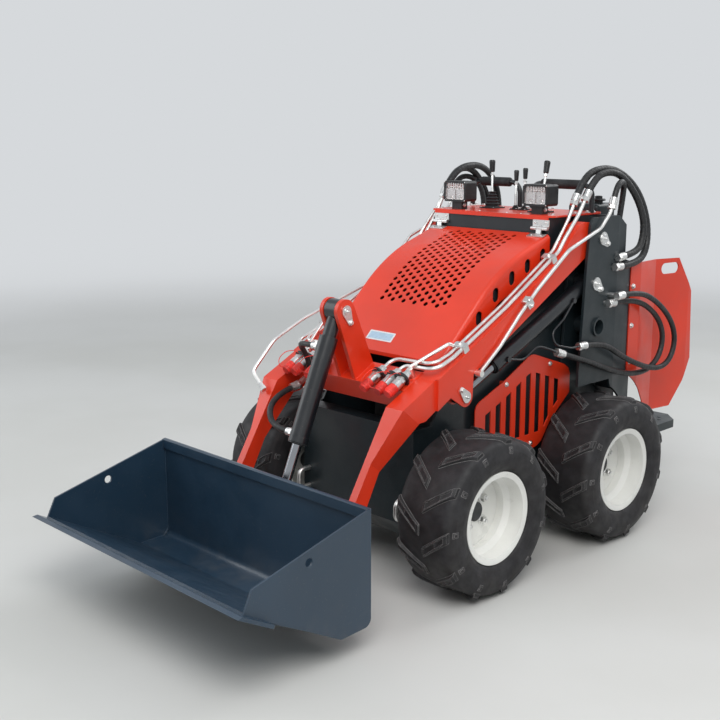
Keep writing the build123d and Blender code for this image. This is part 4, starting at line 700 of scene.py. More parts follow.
# Hose routes from the fitting on the arm or the lift cylinder to the port: the solids' points, but
# hose_upper's crest and hose_lift_front's bulge follow the photograph
hose_routes = {
    "hose_upper": [
        (0.286, 0.410, 1.149), (0.286, 0.438, 1.195), (0.285, 0.506, 1.240),
        (0.292, 0.632, 1.240), (0.312, 0.738, 1.172), (0.330, 0.788, 1.060),
        (0.342, 0.772, 0.955), (0.348, 0.700, 0.912), (0.348, 0.590, 0.912),
    ],
    "hose_middle": [
        (0.309, 0.441, 1.161), (0.309, 0.463, 1.191), (0.312, 0.515, 1.230),
        (0.322, 0.605, 1.228), (0.333, 0.690, 1.160), (0.341, 0.742, 1.075),
        (0.344, 0.742, 1.000), (0.348, 0.700, 0.951), (0.348, 0.605, 0.945),
    ],
    "hose_inner": [
        (0.354, 0.528, 1.136), (0.353, 0.541, 1.171), (0.346, 0.577, 1.200),
        (0.330, 0.626, 1.192), (0.311, 0.652, 1.150), (0.301, 0.655, 1.085),
        (0.297, 0.644, 1.000), (0.297, 0.640, 0.900),
    ],
    "hose_lift_rear": [
        (0.354, 0.384, 0.666), (0.360, 0.490, 0.664), (0.370, 0.600, 0.600),
        (0.374, 0.735, 0.545), (0.374, 0.850, 0.520), (0.374, 0.925, 0.548),
        (0.374, 0.950, 0.625), (0.374, 0.900, 0.705), (0.374, 0.795, 0.778),
        (0.374, 0.685, 0.818), (0.374, 0.569, 0.818),
    ],
    "hose_lift_front": [
        (0.354, 0.260, 0.657), (0.354, 0.410, 0.610), (0.354, 0.550, 0.558),
        (0.354, 0.680, 0.522), (0.354, 0.795, 0.518), (0.354, 0.876, 0.558),
        (0.354, 0.898, 0.635), (0.354, 0.853, 0.707), (0.354, 0.755, 0.767),
        (0.354, 0.650, 0.792), (0.354, 0.549, 0.792),
    ],
    "hose_tilt_upper": [
        (-0.156, -0.372, 0.592), (-0.156, -0.378, 0.650), (-0.152, -0.418, 0.706),
        (-0.110, -0.45108, 0.72462), (-0.055, -0.45108, 0.72462),
    ],
    "hose_tilt_lower": [
        (-0.213, -0.396, 0.560), (-0.213, -0.455, 0.548), (-0.190, -0.522, 0.515),
        (-0.125, -0.55780, 0.47443), (-0.055, -0.55780, 0.47443),
    ],
}
# Each hose's length and radius, the body at its route's start, the body at its end, and its wrap
hose_columns = ("route", "length", "radius", "moving", "fixed", "wrap")
hose_rows = (
    ("hose_upper", 0.79, 0.0122, "boom", "machine", "spiral"),
    ("hose_middle", 0.62, 0.0118, "boom", "machine", "spiral"),
    ("hose_inner", 0.43, 0.0102, "boom", "machine", "spiral"),
    ("hose_lift_rear", 1.09, 0.0098, "lift_barrel_body", "machine", "spiral"),
    ("hose_lift_front", 1.12, 0.0098, "lift_barrel_body", "machine", "spiral"),
    ("hose_tilt_upper", 0.23, 0.0088, "boom", "tilt_barrel_body", "plain"),
    ("hose_tilt_lower", 0.285, 0.0095, "boom", "tilt_barrel_body", "spiral"),
)
wrap_pitch = 0.016
wrap_groove = 0.001
wrap_groove_half = 0.0018
hose_point_step = 0.0022


def hoses():
    """Name, route and row of each hose; those with a port on a tower come on both sides."""
    for row in (dict(zip(hose_columns, values)) for values in hose_rows):
        route = hose_routes[row["route"]]
        if row["fixed"] == "machine":
            for side in sides:
                yield row["route"] + "_" + side, flip(route, side), row
        else:
            yield row["route"], route, row


def spline_points(route):
    """Points along the NURBS spline whose control points are the route."""
    curve = bpy.data.curves.new("route", "CURVE")
    curve.dimensions = "3D"
    curve.resolution_u = 24
    spline = curve.splines.new("NURBS")
    spline.points.add(len(route) - 1)
    for point, spot in zip(spline.points, route):
        point.co = (*spot, 1.0)
    spline.order_u = 3
    spline.use_endpoint_u = True
    holder = bpy.data.objects.new("route", curve)
    bpy.context.scene.collection.objects.link(holder)
    mesh = bpy.data.meshes.new_from_object(holder)
    points = [vertex.co.copy() for vertex in mesh.vertices]
    bpy.data.objects.remove(holder)
    bpy.data.curves.remove(curve)
    bpy.data.meshes.remove(mesh)
    return points


def wrapped(radius):
    """Radius along a hose under a spiral guard, with a groove between its turns."""
    def grooved(reach, turn):
        phase = (reach / wrap_pitch - turn / (2 * pi)) % 1.0
        edge = min(phase, 1 - phase) * wrap_pitch
        return radius - wrap_groove * max(0.0, 1 - edge / wrap_groove_half)

    return grooved


def hose(name, route, row):
    """One hose: a tube along its spline, bent between its two bodies."""
    points = resample(spline_points(route), hose_point_step)
    made = Piece()
    made.tube(points, wrapped(row["radius"]) if row["wrap"] == "spiral" else row["radius"], 16)
    cover = made.done(name + "_cover", "hose", None, 60.0, (name,))
    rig.cord(
        cover, exit=route[-1], length=row["length"], diameter=2 * row["radius"],
        far_end="object", stiffness="stiff", lay="loose", path=points[::-1],
    )
    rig.blend(cover, row["fixed"], row["moving"], route[-1], route[0])


for hose_name, hose_route, hose_row in hoses():
    hose(hose_name, hose_route, hose_row)


# Tyres: a carcass with moulded rings, curved lugs with rounded edges, and shoulder blocks
bead_half = 0.0857
bead_radius = 0.1273
flange_radius = 0.1413
shoulder = (0.234, 0.0946)
side_bulge = (0.1885, 0.1088)
flange_foot = (0.149, 0.0982)
tyre_rings = ((0.156, 0.0012), (0.17, 0.0008), (0.178, 0.0008), (0.206, 0.001))
tyre_ring_half = 0.0022
tread_floor = 0.239
tread_fall = 0.005
lug_left = ((0.004, -0.017), (0.05, -0.051), (0.098, -0.086))
lug_right = ((0.004, 0.014), (0.05, -0.022), (0.098, -0.058))
lug_stations = 12
lug_solid_stations = (0, 1, 7, 11, 12)
lug_top = 0.2462
lug_round = 0.0022
lug_groove = 0.0036
lug_sink = 0.004
lug_flank_slope = 1.45
lug_fall, lug_fall_start, lug_fall_run = 0.007, 0.08, 0.018
shoulder_block_radii = (0.1985, 0.2165)
shoulder_block_back = 0.078


def table_value(table, place):
    """Value of a table of (place, value) pairs, straight between its rows."""
    for (low, start), (high, end) in zip(table, table[1:]):
        if place <= high:
            return start + (end - start) * (place - low) / (high - low)
    return table[-1][1]


def side_reach(radius):
    """Half width of the tyre's side at a radius, on a smooth curve through three places."""
    total = 0.0
    places = (flange_foot, side_bulge, shoulder)
    for here in places:
        share = here[1]
        for other in places:
            if other is not here:
                share *= (radius - other[0]) / (here[0] - other[0])
        total += share
    for ring_radius, ring_height in tyre_rings:
        total += ring_height * max(0.0, 1 - abs(radius - ring_radius) / tyre_ring_half)
    return total


def tread_reach(half):
    """Radius of the tread's floor at a distance from the middle."""
    return tread_floor - tread_fall * (half / shoulder[1]) ** 2


def tyre_profile():
    """Radius and half width around the carcass, from one bead over the tread to the other."""
    side = [(bead_radius, bead_half), (flange_radius, bead_half), (0.1425, 0.0885), (0.1455, 0.095)]
    steps = 26
    turn_in = 0.222
    for step in range(steps + 1):
        radius = flange_foot[0] + (turn_in - flange_foot[0]) * step / steps
        side.append((radius, side_reach(radius)))
    inner = 0.072
    for step in range(1, 8):
        share = step / 7
        weights = ((1 - share) ** 2, 2 * share * (1 - share), share ** 2)
        bend = ((turn_in, side_reach(turn_in)), (0.2355, 0.0935), (tread_reach(inner), inner))
        side.append(tuple(
            sum(weight * spot[axis] for weight, spot in zip(weights, bend)) for axis in (0, 1)
        ))
    for step in range(1, 4):
        half = inner * (1 - step / 4)
        side.append((tread_reach(half), half))
    return side + [(tread_floor, 0.0)] + [(radius, -half) for radius, half in side[::-1]]


def tyre(corner, centre):
    """One tyre, in place of the plain solid one."""
    made = Piece()
    sign = 1 if centre.x > 0 else -1

    def spot(radius, half, turn):
        return centre + Vector((half * sign, radius * cos(turn), radius * sin(turn)))

    count = 96
    rings = []
    for radius, half in tyre_profile():
        rings.append([spot(radius, half, 2 * pi * step / count) for step in range(count)])
    made.skin(rings, caps=False)
    made.skin([rings[-1], rings[0]], caps=False)
    for index in range(lug_count):
        for flank in (1, -1):
            turn = 2 * pi * (index + (0.5 if flank < 0 else 0.0)) / lug_count
            made.lug(spot, flank, turn)
            made.shoulder_block(spot, flank, turn - shoulder_block_back / tyre_radius)
    made.done("tyre_tread_" + corner, "tyre", "wheel_" + corner, 38.0, ("tyre_" + corner,))


def wheel_trim(corner, centre):
    """Nuts on the studs and the valve in the dish."""
    out = Vector((1 if centre.x > 0 else -1, 0, 0))
    body = "wheel_" + corner
    nuts = Piece()
    for index in range(4):
        turn = pi / 4 + pi / 2 * index
        seat = centre + Vector((0, cos(turn), sin(turn))) * stud_circle
        nuts.lathe(seat, out, ((0.0155, 0.0), (0.0155, 0.0016), (0.0125, 0.0034), (0.007, 0.0034)), 28)
        nuts.nut(seat + out * 0.002, out, 0.022, 0.0135, 0.0064, 0.007)
    nuts.done("wheel_nuts_" + corner, "zinc", body)
    stem = Piece()
    turn = radians(100)
    stem.lathe(centre + Vector((0, cos(turn), sin(turn))) * valve_circle, out, (
        (0.0075, 0.0), (0.0075, 0.003), (0.0048, 0.007), (0.0044, 0.024), (0.005, 0.025),
        (0.005, 0.033), (0.0042, 0.034),
    ), 20)
    stem.done("valve_stem_" + corner, "plastic", body)


for wheel_corner, wheel_centre in wheel_centres.items():
    tyre(wheel_corner, wheel_centre)
    wheel_trim(wheel_corner, wheel_centre)


# Ends of the hoses: crimped sleeves with hexagons, and elbows at the tilt cylinder's ports
def ribs(first, pitch, crest, valley, steps):
    """Profile of five ribs: the radii of crest and valley, and three steps along each rib."""
    profile = []
    for start in (first + rib * pitch for rib in range(5)):
        profile += [(crest, start), (crest, start + steps[0])]
        profile += [(valley, start + steps[1]), (valley, start + steps[2])]
    return profile


def crimp(made, route):
    """Crimped sleeve over the hose end that the route starts from."""
    mouth = Vector(route[0])
    way = (mouth - Vector(route[1])).normalized()
    grips = ribs(-0.01, 0.0046, 0.014, 0.013, (0.003, 0.0034, 0.0042))
    profile = ((0.0092, -0.0125), (0.014, -0.012), *grips, (0.014, 0.014), (0.0128, 0.0155))
    made.lathe(mouth, way, profile, 28)
    made.lathe(mouth, way, ((0.0146, 0.015), (0.0146, 0.0255), (0.0132, 0.027)), 6)


def hose_ends():
    """Sleeves on the hoses' ends by body, and an elbow on each port of the tilt cylinder."""
    crimped = {}
    elbows = Piece()
    for _, route, row in hoses():
        crimped.setdefault(row["moving"], []).append(route)
        if row["fixed"] == "machine":
            crimped.setdefault("machine", []).append(route[::-1])
            continue
        x, y, z = route[-1]
        elbows.lathe((x, y, z), (1, 0, 0), (
            (0.0092, -0.0015), (0.0124, -0.001), (0.0124, 0.012), (0.011, 0.013), (0.011, 0.016),
            (0.0145, 0.0165), (0.0145, 0.026), (0.012, 0.027),
        ), 28)
        elbows.lathe((x + 0.0165, y, z), (1, 0, 0), ((0.0165, 0.0), (0.0165, 0.0085), (0.015, 0.0095)), 6)
    for body, routes in crimped.items():
        crimps = Piece()
        for route in routes:
            crimp(crimps, route)
        crimps.done("hose_ends_" + body, "zinc", body)
    elbows.done("tilt_port_elbows", "zinc", "tilt_barrel_body")


hose_ends()

# Lamps: bezel screws, cells with prisms and pale diodes, thin glass, bracket bolts
lamp_x = 0.175
lamp_half_width = 0.05
lamp_bezel = 0.007
lamp_front_y = 0.333
lamp_z = (1.12, 1.192)
lamp_seat_depth = 0.0079
lamp_gap = 0.0005
lamp_sheet = 0.0012
lamp_rib_half = 0.0009
lamp_rib_depth = 0.0044


def rounded(width, height, radius):
    """Outline of a rectangle with round corners, centred."""
    outline = []
    steps = 5
    for corner, (x, y) in enumerate(((1, 1), (-1, 1), (-1, -1), (1, -1))):
        for step in range(steps + 1):
            turn = pi / 2 * (corner + step / steps)
            outline.append((
                x * (width / 2 - radius) + radius * cos(turn),
                y * (height / 2 - radius) + radius * sin(turn),
            ))
    return outline


def lamps():
    """Both work lamps."""
    cells, diodes, glass, trim = Piece(), Piece(), Piece(), Piece()
    half = lamp_half_width - lamp_bezel - lamp_gap
    low, high = lamp_z[0] + lamp_bezel + lamp_gap, lamp_z[1] - lamp_bezel - lamp_gap
    seat_y = lamp_front_y + lamp_seat_depth
    face_y, rib_y = seat_y - lamp_sheet, seat_y - lamp_rib_depth
    cells.box((lamp_x - half, face_y, low), (lamp_x + half, seat_y, high), 0.0003)
    tall = high - low
    middle = low + tall * 0.62
    prisms = 8
    for row in range(3):
        for column in range(prisms):
            x = lamp_x - half + 2 * half * (column + 0.5) / prisms
            z = high - tall * (0.05 + 0.1 * row)
            cells.lathe((x, face_y, z), (0, -1, 0), ((0.0046, 0.0), (0.0008, 0.0036)), 4)
    for x in (lamp_x - half, lamp_x, lamp_x + half):
        cells.box((x - lamp_rib_half, rib_y, low), (x + lamp_rib_half, seat_y, middle), 0.0003)
    for z in (low, middle):
        corners = ((lamp_x - half, rib_y, z - lamp_rib_half), (lamp_x + half, seat_y, z + lamp_rib_half))
        cells.box(*corners, 0.0003)
    for columns, share, size in ((5, 0.67, 0.0026), (2, 0.13, 0.0054)):
        for index in range(columns):
            x = lamp_x - half + 2 * half * (index + 0.5) / columns
            z = low + tall * share
            cells.lathe((x, face_y, z), (0, -1, 0), (
                (size * 1.5, 0.0), (size * 1.35, 0.0008), (size, 0.0002), (size * 0.9, 0.0002),
            ), 24)
            corners = ((x - size, seat_y - 0.003, z - size * 0.5), (x + size, face_y, z + size * 0.5))
            diodes.box(*corners, 0.0004)
    pane = rounded(2 * half, high - low, 0.0055)
    pane_middle = (lamp_x, lamp_front_y + 0.0028, (low + high) / 2)
    glass.slab(pane, 0.0014, pane_middle, (0, 0, 1), 0.0003)
    for x in (-1, 1):
        for z in lamp_z:
            inward = 0.004 if z == lamp_z[0] else -0.004
            seat = (lamp_x + x * (lamp_half_width - 0.004), lamp_front_y, z + inward)
            trim.screw(seat, (0, -1, 0), 0.0022, 0.0009)
        trim.bolt((lamp_x + x * 0.022, lamp_front_y + 0.03, 1.108), (x, 0, 0), 0.01, 0.004)
    for made in (cells, diodes, glass, trim):
        made.mirrored()
    cells.done("lamp_cells", "mirror", "machine")
    diodes.done("lamp_diodes", "diode", "machine")
    glass.done("lamp_glass", "glass", "machine", replaced=("lamp_lenses",))
    trim.done("lamp_screws", "zinc", "machine")


lamps()

# Control levers with their bellows
plate_z = 1.093
lever_columns = ("foot", "top", "knob", "length", "boot")
lever_rows = (
    ((-0.125, 0.485), (-0.133, 0.49, 1.264), 0.011, 0.043, 0.034),
    ((-0.012, 0.474), (-0.015, 0.48, 1.231), 0.009, 0.038, 0.016),
    ((0.026, 0.474), (0.024, 0.48, 1.239), 0.009, 0.038, 0.016),
    ((0.128, 0.433), (0.116, 0.48, 1.265), 0.011, 0.043, 0.034),
)


def controls():
    """Levers with their knobs, bellows and screws."""
    rods, knobs, boots, screws = Piece(), Piece(), Piece(), Piece()
    for lever in (dict(zip(lever_columns, values)) for values in lever_rows):
        foot = Vector((*lever["foot"], plate_z + 0.002))
        top = Vector(lever["top"])
        way = (top - foot).normalized()
        reach = (top - foot).length
        length, knob, wide = lever["length"], lever["knob"], lever["boot"]
        neck = reach - length
        rods.lathe(foot, way, (
            (0.0042, 0.0), (0.0042, neck - 0.014), (0.0038, neck - 0.013), (0.0038, neck + 0.002),
        ), 20)
        rods.lathe(foot + way * (neck - 0.011), way, ((0.0062, 0.0), (0.0062, 0.005), (0.0054, 0.0056)), 6)
        low = knob - 0.0018
        knobs.lathe(foot + way * neck, way, (
            (low * 0.8, 0.0), (low, 0.0014), (low + 0.0004, 0.006), (knob * 0.93, length * 0.55),
            (knob, length * 0.8), (knob * 0.98, length * 0.92), (knob * 0.82, length * 0.985),
            (knob * 0.45, length * 0.999),
        ), 32)
        height = (1.65 if wide > 0.02 else 0.8) * wide
        base = Vector((*lever["foot"], plate_z))
        boots.slab(rounded(2 * wide, 2 * wide, 0.005), 0.004, base, (0, 1, 0), 0.0012)
        pleats = 5 if wide > 0.02 else 3
        profile = [(0.88 * wide, 0.003)]
        for step in range(pleats * 8 + 1):
            share = step / (pleats * 8)
            middle = 0.8 * wide + (0.36 * wide - 0.8 * wide) * share
            pleat = 0.075 * wide * cos(2 * pi * pleats * share)
            profile.append((middle + pleat, 0.004 + (height - 0.002) * share))
        profile += [(0.28 * wide, 0.003 + height), (0.0063, 0.003 + height)]
        boots.lathe(base, (0, 0, 1), profile, 40)
        for x in (-1, 1):
            for y in (-1, 1):
                seat = base + Vector((x * wide * 0.84, y * wide * 0.84, 0.004))
                screws.screw(seat, (0, 0, 1), 0.0028, 0.0014)
    knobs.done("lever_knobs", "plastic", "machine", replaced=("levers",))
    rods.done("lever_rods", "zinc", "machine")
    boots.done("lever_bellows", "soft", "machine", replaced=("lever_boots",))
    screws.done("boot_screws", "zinc", "machine")


controls()

# Padded rails: bent tubes with foam sleeves and foot plates
rail_spans = ((-0.262, -0.043), (0.01, 0.261))
rail_y = 0.54
rail_z = 1.185
rail_radius = 0.009
pad_radius = 0.0168
rail_bend = 0.038
pad_inset = 0.042
plate_edge = 0.2645


def rails():
    """Both hand rails."""
    tubes, feet = Piece(), Piece()
    for index, (start, end) in enumerate(rail_spans):
        path = [Vector((start, rail_y, plate_z + 0.0005))]
        for centre_x, quarter in ((start + rail_bend, 2), (end - rail_bend, 1)):
            for step in range(9):
                turn = pi / 2 * (quarter - step / 8)
                path.append(Vector((
                    centre_x + rail_bend * cos(turn), rail_y, rail_z - rail_bend + rail_bend * sin(turn),
                )))
        path.append(Vector((end, rail_y, plate_z + 0.0005)))
        tubes.tube(path, rail_radius, 20)
        for x in (start, end):
            low, high = max(x - 0.0125, -plate_edge), min(x + 0.0125, plate_edge)
            feet.box((low, rail_y - 0.024, plate_z), (high, rail_y + 0.024, plate_z + 0.004), 0.0012)
            for y in (-0.017, 0.017):
                feet.bolt(((low + high) / 2, rail_y + y, plate_z + 0.004), (0, 0, 1), 0.0085, 0.0035, 0.0008)
        pad = Piece()
        draw = Random(5 + index)
        folds = [draw.uniform(-1, 1) for _ in range(9)]
        length = end - start - 2 * pad_inset

        def swell(reach, turn):
            share = reach / length
            close = min(share, 1 - share) * length
            ends_in = 1 - 0.34 * max(0.0, 1 - close / 0.006) ** 2
            waves = [fold * cos(2 * pi * (k + 2) * share + k) for k, fold in enumerate(folds)]
            return pad_radius * ends_in * (0.985 + 0.012 * (sum(waves) / len(folds)) * cos(turn))

        line = ((start + pad_inset, rail_y, rail_z), (end - pad_inset, rail_y, rail_z))
        pad.tube(resample(line, 0.0025), swell, 36)
        covered = ("hand_rails",) if index == 0 else ()
        foam = pad.done("rail_pad_" + str(index + 1), "soft", "machine", 50.0, covered)
        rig.padded(foam, fill=0.95)
    tubes.done("rail_tubes", "black", "machine")
    feet.done("rail_feet", "zinc", "machine")


rails()

# Quick couplers: hexagons, rings, caps and their tethers
deck_front = Vector((0, -0.366, 0.617))
deck_way = Vector((0, 0.082, 0.045)).normalized()
deck_up = Vector((0, -0.045, 0.082)).normalized()
coupler_xs = (0.125, 0.186, 0.226)
coupler_height = 0.022
coupler_rings = (
    (36, (
        (0.0135, -0.0135), (0.0158, -0.0125), (0.0158, 0.006), (0.0145, 0.0068), (0.0145, 0.0095),
        (0.0136, 0.01),
    )),
    (6, ((0.0162, 0.0105), (0.0162, 0.022), (0.015, 0.0232))),
    (6, ((0.013, 0.0345), (0.0145, 0.035), (0.0145, 0.044), (0.0132, 0.0452))),
    (6, ((0.0118, 0.0452), (0.0118, 0.057), (0.0106, 0.0582), (0.0072, 0.059))),
)
tether_radius = 0.0013
tether_swings = ((0.01, 0.03), (-0.012, 0.026), (0.006, 0.034))
# Each loop point's share of the lean, place along the deck, share of the rise, and height
tether_loop = (
    (0, -0.044, 0, 0.013), (0.6, -0.058, 0, 0.02), (1.6, -0.05, 1, 0.01), (1.8, -0.018, 1, 0.016),
    (1.2, 0.012, 1, 0.004), (0.3, 0.027, 0, 0.019), (0, 0.029, 0, 0.012),
)


def deck(x, run, height):
    """Point over the cross member's top plate."""
    return deck_front + Vector((x, 0, 0)) + deck_way * run + deck_up * height


def couplers():
    """Coupler rings, red caps and the straps that hold them."""
    rings, caps = Piece(), Piece()
    for x in coupler_xs:
        seat = deck(x, 0, coupler_height)
        for count, profile in coupler_rings:
            rings.lathe(seat, deck_way, profile, count)
        grips = ribs(-0.038, 0.004, 0.0164, 0.0156, (0.0022, 0.0026, 0.0036))
        caps.lathe(seat, deck_way, (
            (0.0126, -0.0478), (0.0136, -0.047), (0.014, -0.04), (0.0158, -0.0394), *grips,
            (0.0165, -0.0165), (0.0165, -0.0142),
        ), 40)
    rings.mirrored()
    caps.mirrored()
    rings.done("coupler_rings", "zinc", "boom")
    caps.done("coupler_caps", "cap", "boom", replaced=("dust_caps",))
    for side, sign in sides.items():
        for number, (x, (lean, rise)) in enumerate(zip(coupler_xs, tether_swings), 1):
            loop = [
                deck(x + lean * out, run, coupler_height + rise * up + height)
                for out, run, up, height in tether_loop
            ]
            loop = [Vector((spot.x * sign, spot.y, spot.z)) for spot in loop]
            path = resample(spline_points(loop), 0.002)
            length = round(sum((b - a).length for a, b in zip(path, path[1:])), 3)
            strap = Piece()
            strap.tube(path, tether_radius, 8)
            tether = strap.done("cap_tether_" + side + "_" + str(number), "cap", "boom", 60.0)
            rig.cord(
                tether, exit=tuple(path[-1]), length=length, diameter=2 * tether_radius,
                far_end="object", stiffness="stiff", lay="loose", path=path[::-1],
            )


couplers()

# Bolts, side grilles, the blank plate, gland rings, welds and small metal trim
boom_pivot = (0.502, 1.0135)
lift_base = (0.472, 0.863)
lift_eye = (-0.175, 0.581)
tilt_base = (-0.404, 0.835)
keeper_out_x = 0.3413
keeper_bolt = (0.031, radians(-38))
clamp_middle = (0.105, 0.8385)
grille_x = (0.265, 0.269)
grille_top = (
    (-0.066, 0.508), (-0.06, 0.522), (-0.044, 0.533), (0.079, 0.581), (0.202, 0.641), (0.219, 0.646),
    (0.236, 0.645), (0.4, 0.59), (0.428, 0.572), (0.438, 0.551),
)
grille_low = (
    (-0.066, 0.4), (0.227, 0.322), (0.262, 0.33), (0.286, 0.343), (0.329, 0.4), (0.379, 0.44),
    (0.438, 0.484),
)
grille_slots = [(-0.016 + 0.0519 * index, 0.011 + 0.0519 * index) for index in range(8)]
grille_border = 0.059
grille_slot_foot = 0.377
grille_bolts = ((0.087, 0.568), (0.32, 0.602), (0.225, 0.346), (-0.046, 0.418))


def side_grilles():
    """Slotted side panels, built in columns between the slots."""
    plates = Piece()
    places = sorted({y for y, _ in (*grille_top, *grille_low)} | {y for slot in grille_slots for y in slot})
    faces = []
    for start, end in zip(places, places[1:]):
        levels = []
        for y in (start, end):
            top, low = table_value(grille_top, y), table_value(grille_low, y)
            slot_top = top - grille_border
            slot_low = min(max(grille_slot_foot, low + 0.03), slot_top - 0.001)
            levels.append((low, slot_low, slot_top, top))
        open_here = any(slot[0] - 1e-6 <= start and end <= slot[1] + 1e-6 for slot in grille_slots)
        for band in range(3):
            if band == 1 and open_here:
                continue
            corners = (
                (start, levels[0][band]), (end, levels[1][band]),
                (end, levels[1][band + 1]), (start, levels[0][band + 1]),
            )
            made = [plates.form.verts.new((grille_x[0], y, z)) for y, z in corners]
            faces.append(plates.form.faces.new(made))
    bmesh.ops.remove_doubles(plates.form, verts=list(plates.form.verts), dist=0.00005)
    grown = bmesh.ops.extrude_face_region(plates.form, geom=list(plates.form.faces))
    moved = [part for part in grown["geom"] if isinstance(part, bmesh.types.BMVert)]
    bmesh.ops.translate(plates.form, verts=moved, vec=(grille_x[1] - grille_x[0], 0, 0))
    for y, z in grille_bolts:
        plates.lathe((0.2462, y, z), (1, 0, 0), ((0.009, 0.0), (0.009, 0.0186)), 24)
    plates.mirrored()
    plates.done("side_grilles", "red", "machine", 30.0, ("side_panels",))


def fasteners():
    """Bolts, screws and grease nipples on the pins, by the body that they ride on."""
    fixed = Piece()
    reach, turn = keeper_bolt
    for (y, z), pin in ((boom_pivot, 0.0175), (lift_base, 0.0125)):
        fixed.bolt((keeper_out_x, y + reach * cos(turn), z + reach * sin(turn)), (1, 0, 0), 0.013, 0.0055)
        fixed.lathe((keeper_out_x + 0.003, y, z), (1, 0, 0), (
            (pin * 0.82, 0.0), (pin * 0.74, 0.0012), (0.0042, 0.0013), (0.0042, 0.003), (0.0026, 0.004),
            (0.0026, 0.0075), (0.0014, 0.009),
        ), 24)
    for z in (0.83, 0.69, 0.56):
        fixed.bolt((0.3292, 0.715, z), (1, 0, 0), 0.013, 0.0055)
    for y, z in grille_bolts:
        fixed.bolt((grille_x[1], y, z), (1, 0, 0), 0.011, 0.0045)
    for x in (0.195, 0.239):
        fixed.screw((x, 0.315, 1.069), (0, -1, 0), 0.0042, 0.0022)
    for x in (0.06, 0.12):
        fixed.screw((x, 0.334, 1.0931), (0, 0, 1), 0.004, 0.002)
    for x, y in ((0.242, 0.345), (0.242, 0.47), (0.242, 0.578), (0.07, 0.585)):
        fixed.bolt((x, y, plate_z), (0, 0, 1), 0.01, 0.004)
    fixed.mirrored()
    fixed.done("frame_bolts", "zinc", "machine")
    moving = Piece()
    arm_up = Vector((0, -0.211, 0.421)).normalized()
    arm_up_rear = Vector((0, -0.152, 0.266)).normalized()
    for y, z, up in ((-0.17, 0.7178, arm_up), (0.262, 0.9503, arm_up_rear)):
        moving.bolt(Vector((0.2975, y, z)) + up * 0.0243, up, 0.011, 0.005)
    for shift in (-1, 1):
        y, z = clamp_middle[0] - shift * 0.0075, clamp_middle[1] + shift * 0.0094
        moving.bolt((0.3411, y, z), (1, 0, 0), 0.009, 0.004, 0.001)
    moving.bolt((0.3264, lift_eye[0] - 0.026, lift_eye[1] + 0.026), (1, 0, 0), 0.012, 0.005)
    moving.lathe((0.3264, *lift_eye), (1, 0, 0), (
        (0.0042, 0.0), (0.0042, 0.002), (0.0026, 0.003), (0.0026, 0.007), (0.0014, 0.008),
    ), 20)
    moving.mirrored()
    moving.bolt((0.0444, tilt_base[0] + 0.016, tilt_base[1] - 0.036), (1, 0, 0), 0.012, 0.005)
    moving.lathe((0.0444, *tilt_base), (1, 0, 0), (
        (0.0115, 0.0), (0.0105, 0.0014), (0.0042, 0.0014), (0.0042, 0.003), (0.0026, 0.004),
        (0.0026, 0.008), (0.0014, 0.009),
    ), 24)
    moving.done("boom_bolts", "zinc", "boom")
    lid = Piece()
    for x in (0.198, 0.236):
        lid.screw((x, 0.2905, 1.0303), (0, -0.3256, 0.9455), 0.0042, 0.0022)
    lid.mirrored()
    lid.done("hood_screws", "zinc", "hood_body")


side_grilles()
fasteners()


def hood_label():
    """Blank plate on the hood's front slope."""
    slope_up = Vector((0, 0.277, 0.2635)).normalized()
    middle = Vector((-0.033, -0.181, 0.682 + (-0.181 + 0.222) * 0.9513))
    out = Vector((1, 0, 0)).cross(slope_up)
    for name, look, outline, thickness, lift, bevel in (
        ("hood_plate", "label", rounded(0.112, 0.036, 0.003), 0.0008, 0.0002, 0.0002),
        ("hood_plate_field", "field", rounded(0.1, 0.026, 0.002), 0.0003, 0.001, 0.0001),
    ):
        plate = Piece()
        plate.slab(outline, thickness, middle + out * lift, slope_up, bevel)
        plate.done(name, look, "hood_body")


hood_label()


def cylinder_trim():
    """Gland rings and wiper seals."""
    rod = 0.015
    rows = (
        ("lift_gland", "lift_barrel_body", (0.295, *lift_base), (0.295, *lift_eye), 0.54, 0.0262, True),
        ("tilt_gland", "tilt_barrel_body", (0.0, *tilt_base), (0.0, -0.645, 0.27), 0.42, 0.0305, False),
    )
    for name, body, start, end, length, outer, both in rows:
        start, end = Vector(start), Vector(end)
        way = (end - start).normalized()
        ring, seal = Piece(), Piece()
        ring.lathe(start + way * (length - 0.024), way, (
            (outer - 0.0016, 0.0), (outer, 0.0012), (outer, 0.02), (outer - 0.0012, 0.0215),
            (outer - 0.004, 0.024), (rod + 0.0022, 0.024),
        ), 48)
        seal.lathe(start + way * length, way, (
            (rod + 0.0026, -0.0002), (rod + 0.0026, 0.0014), (rod + 0.0004, 0.0026),
        ), 40)
        if both:
            ring.mirrored()
            seal.mirrored()
        ring.done(name + "_ring", "black", body)
        seal.done(name + "_seal", "soft", body)


cylinder_trim()


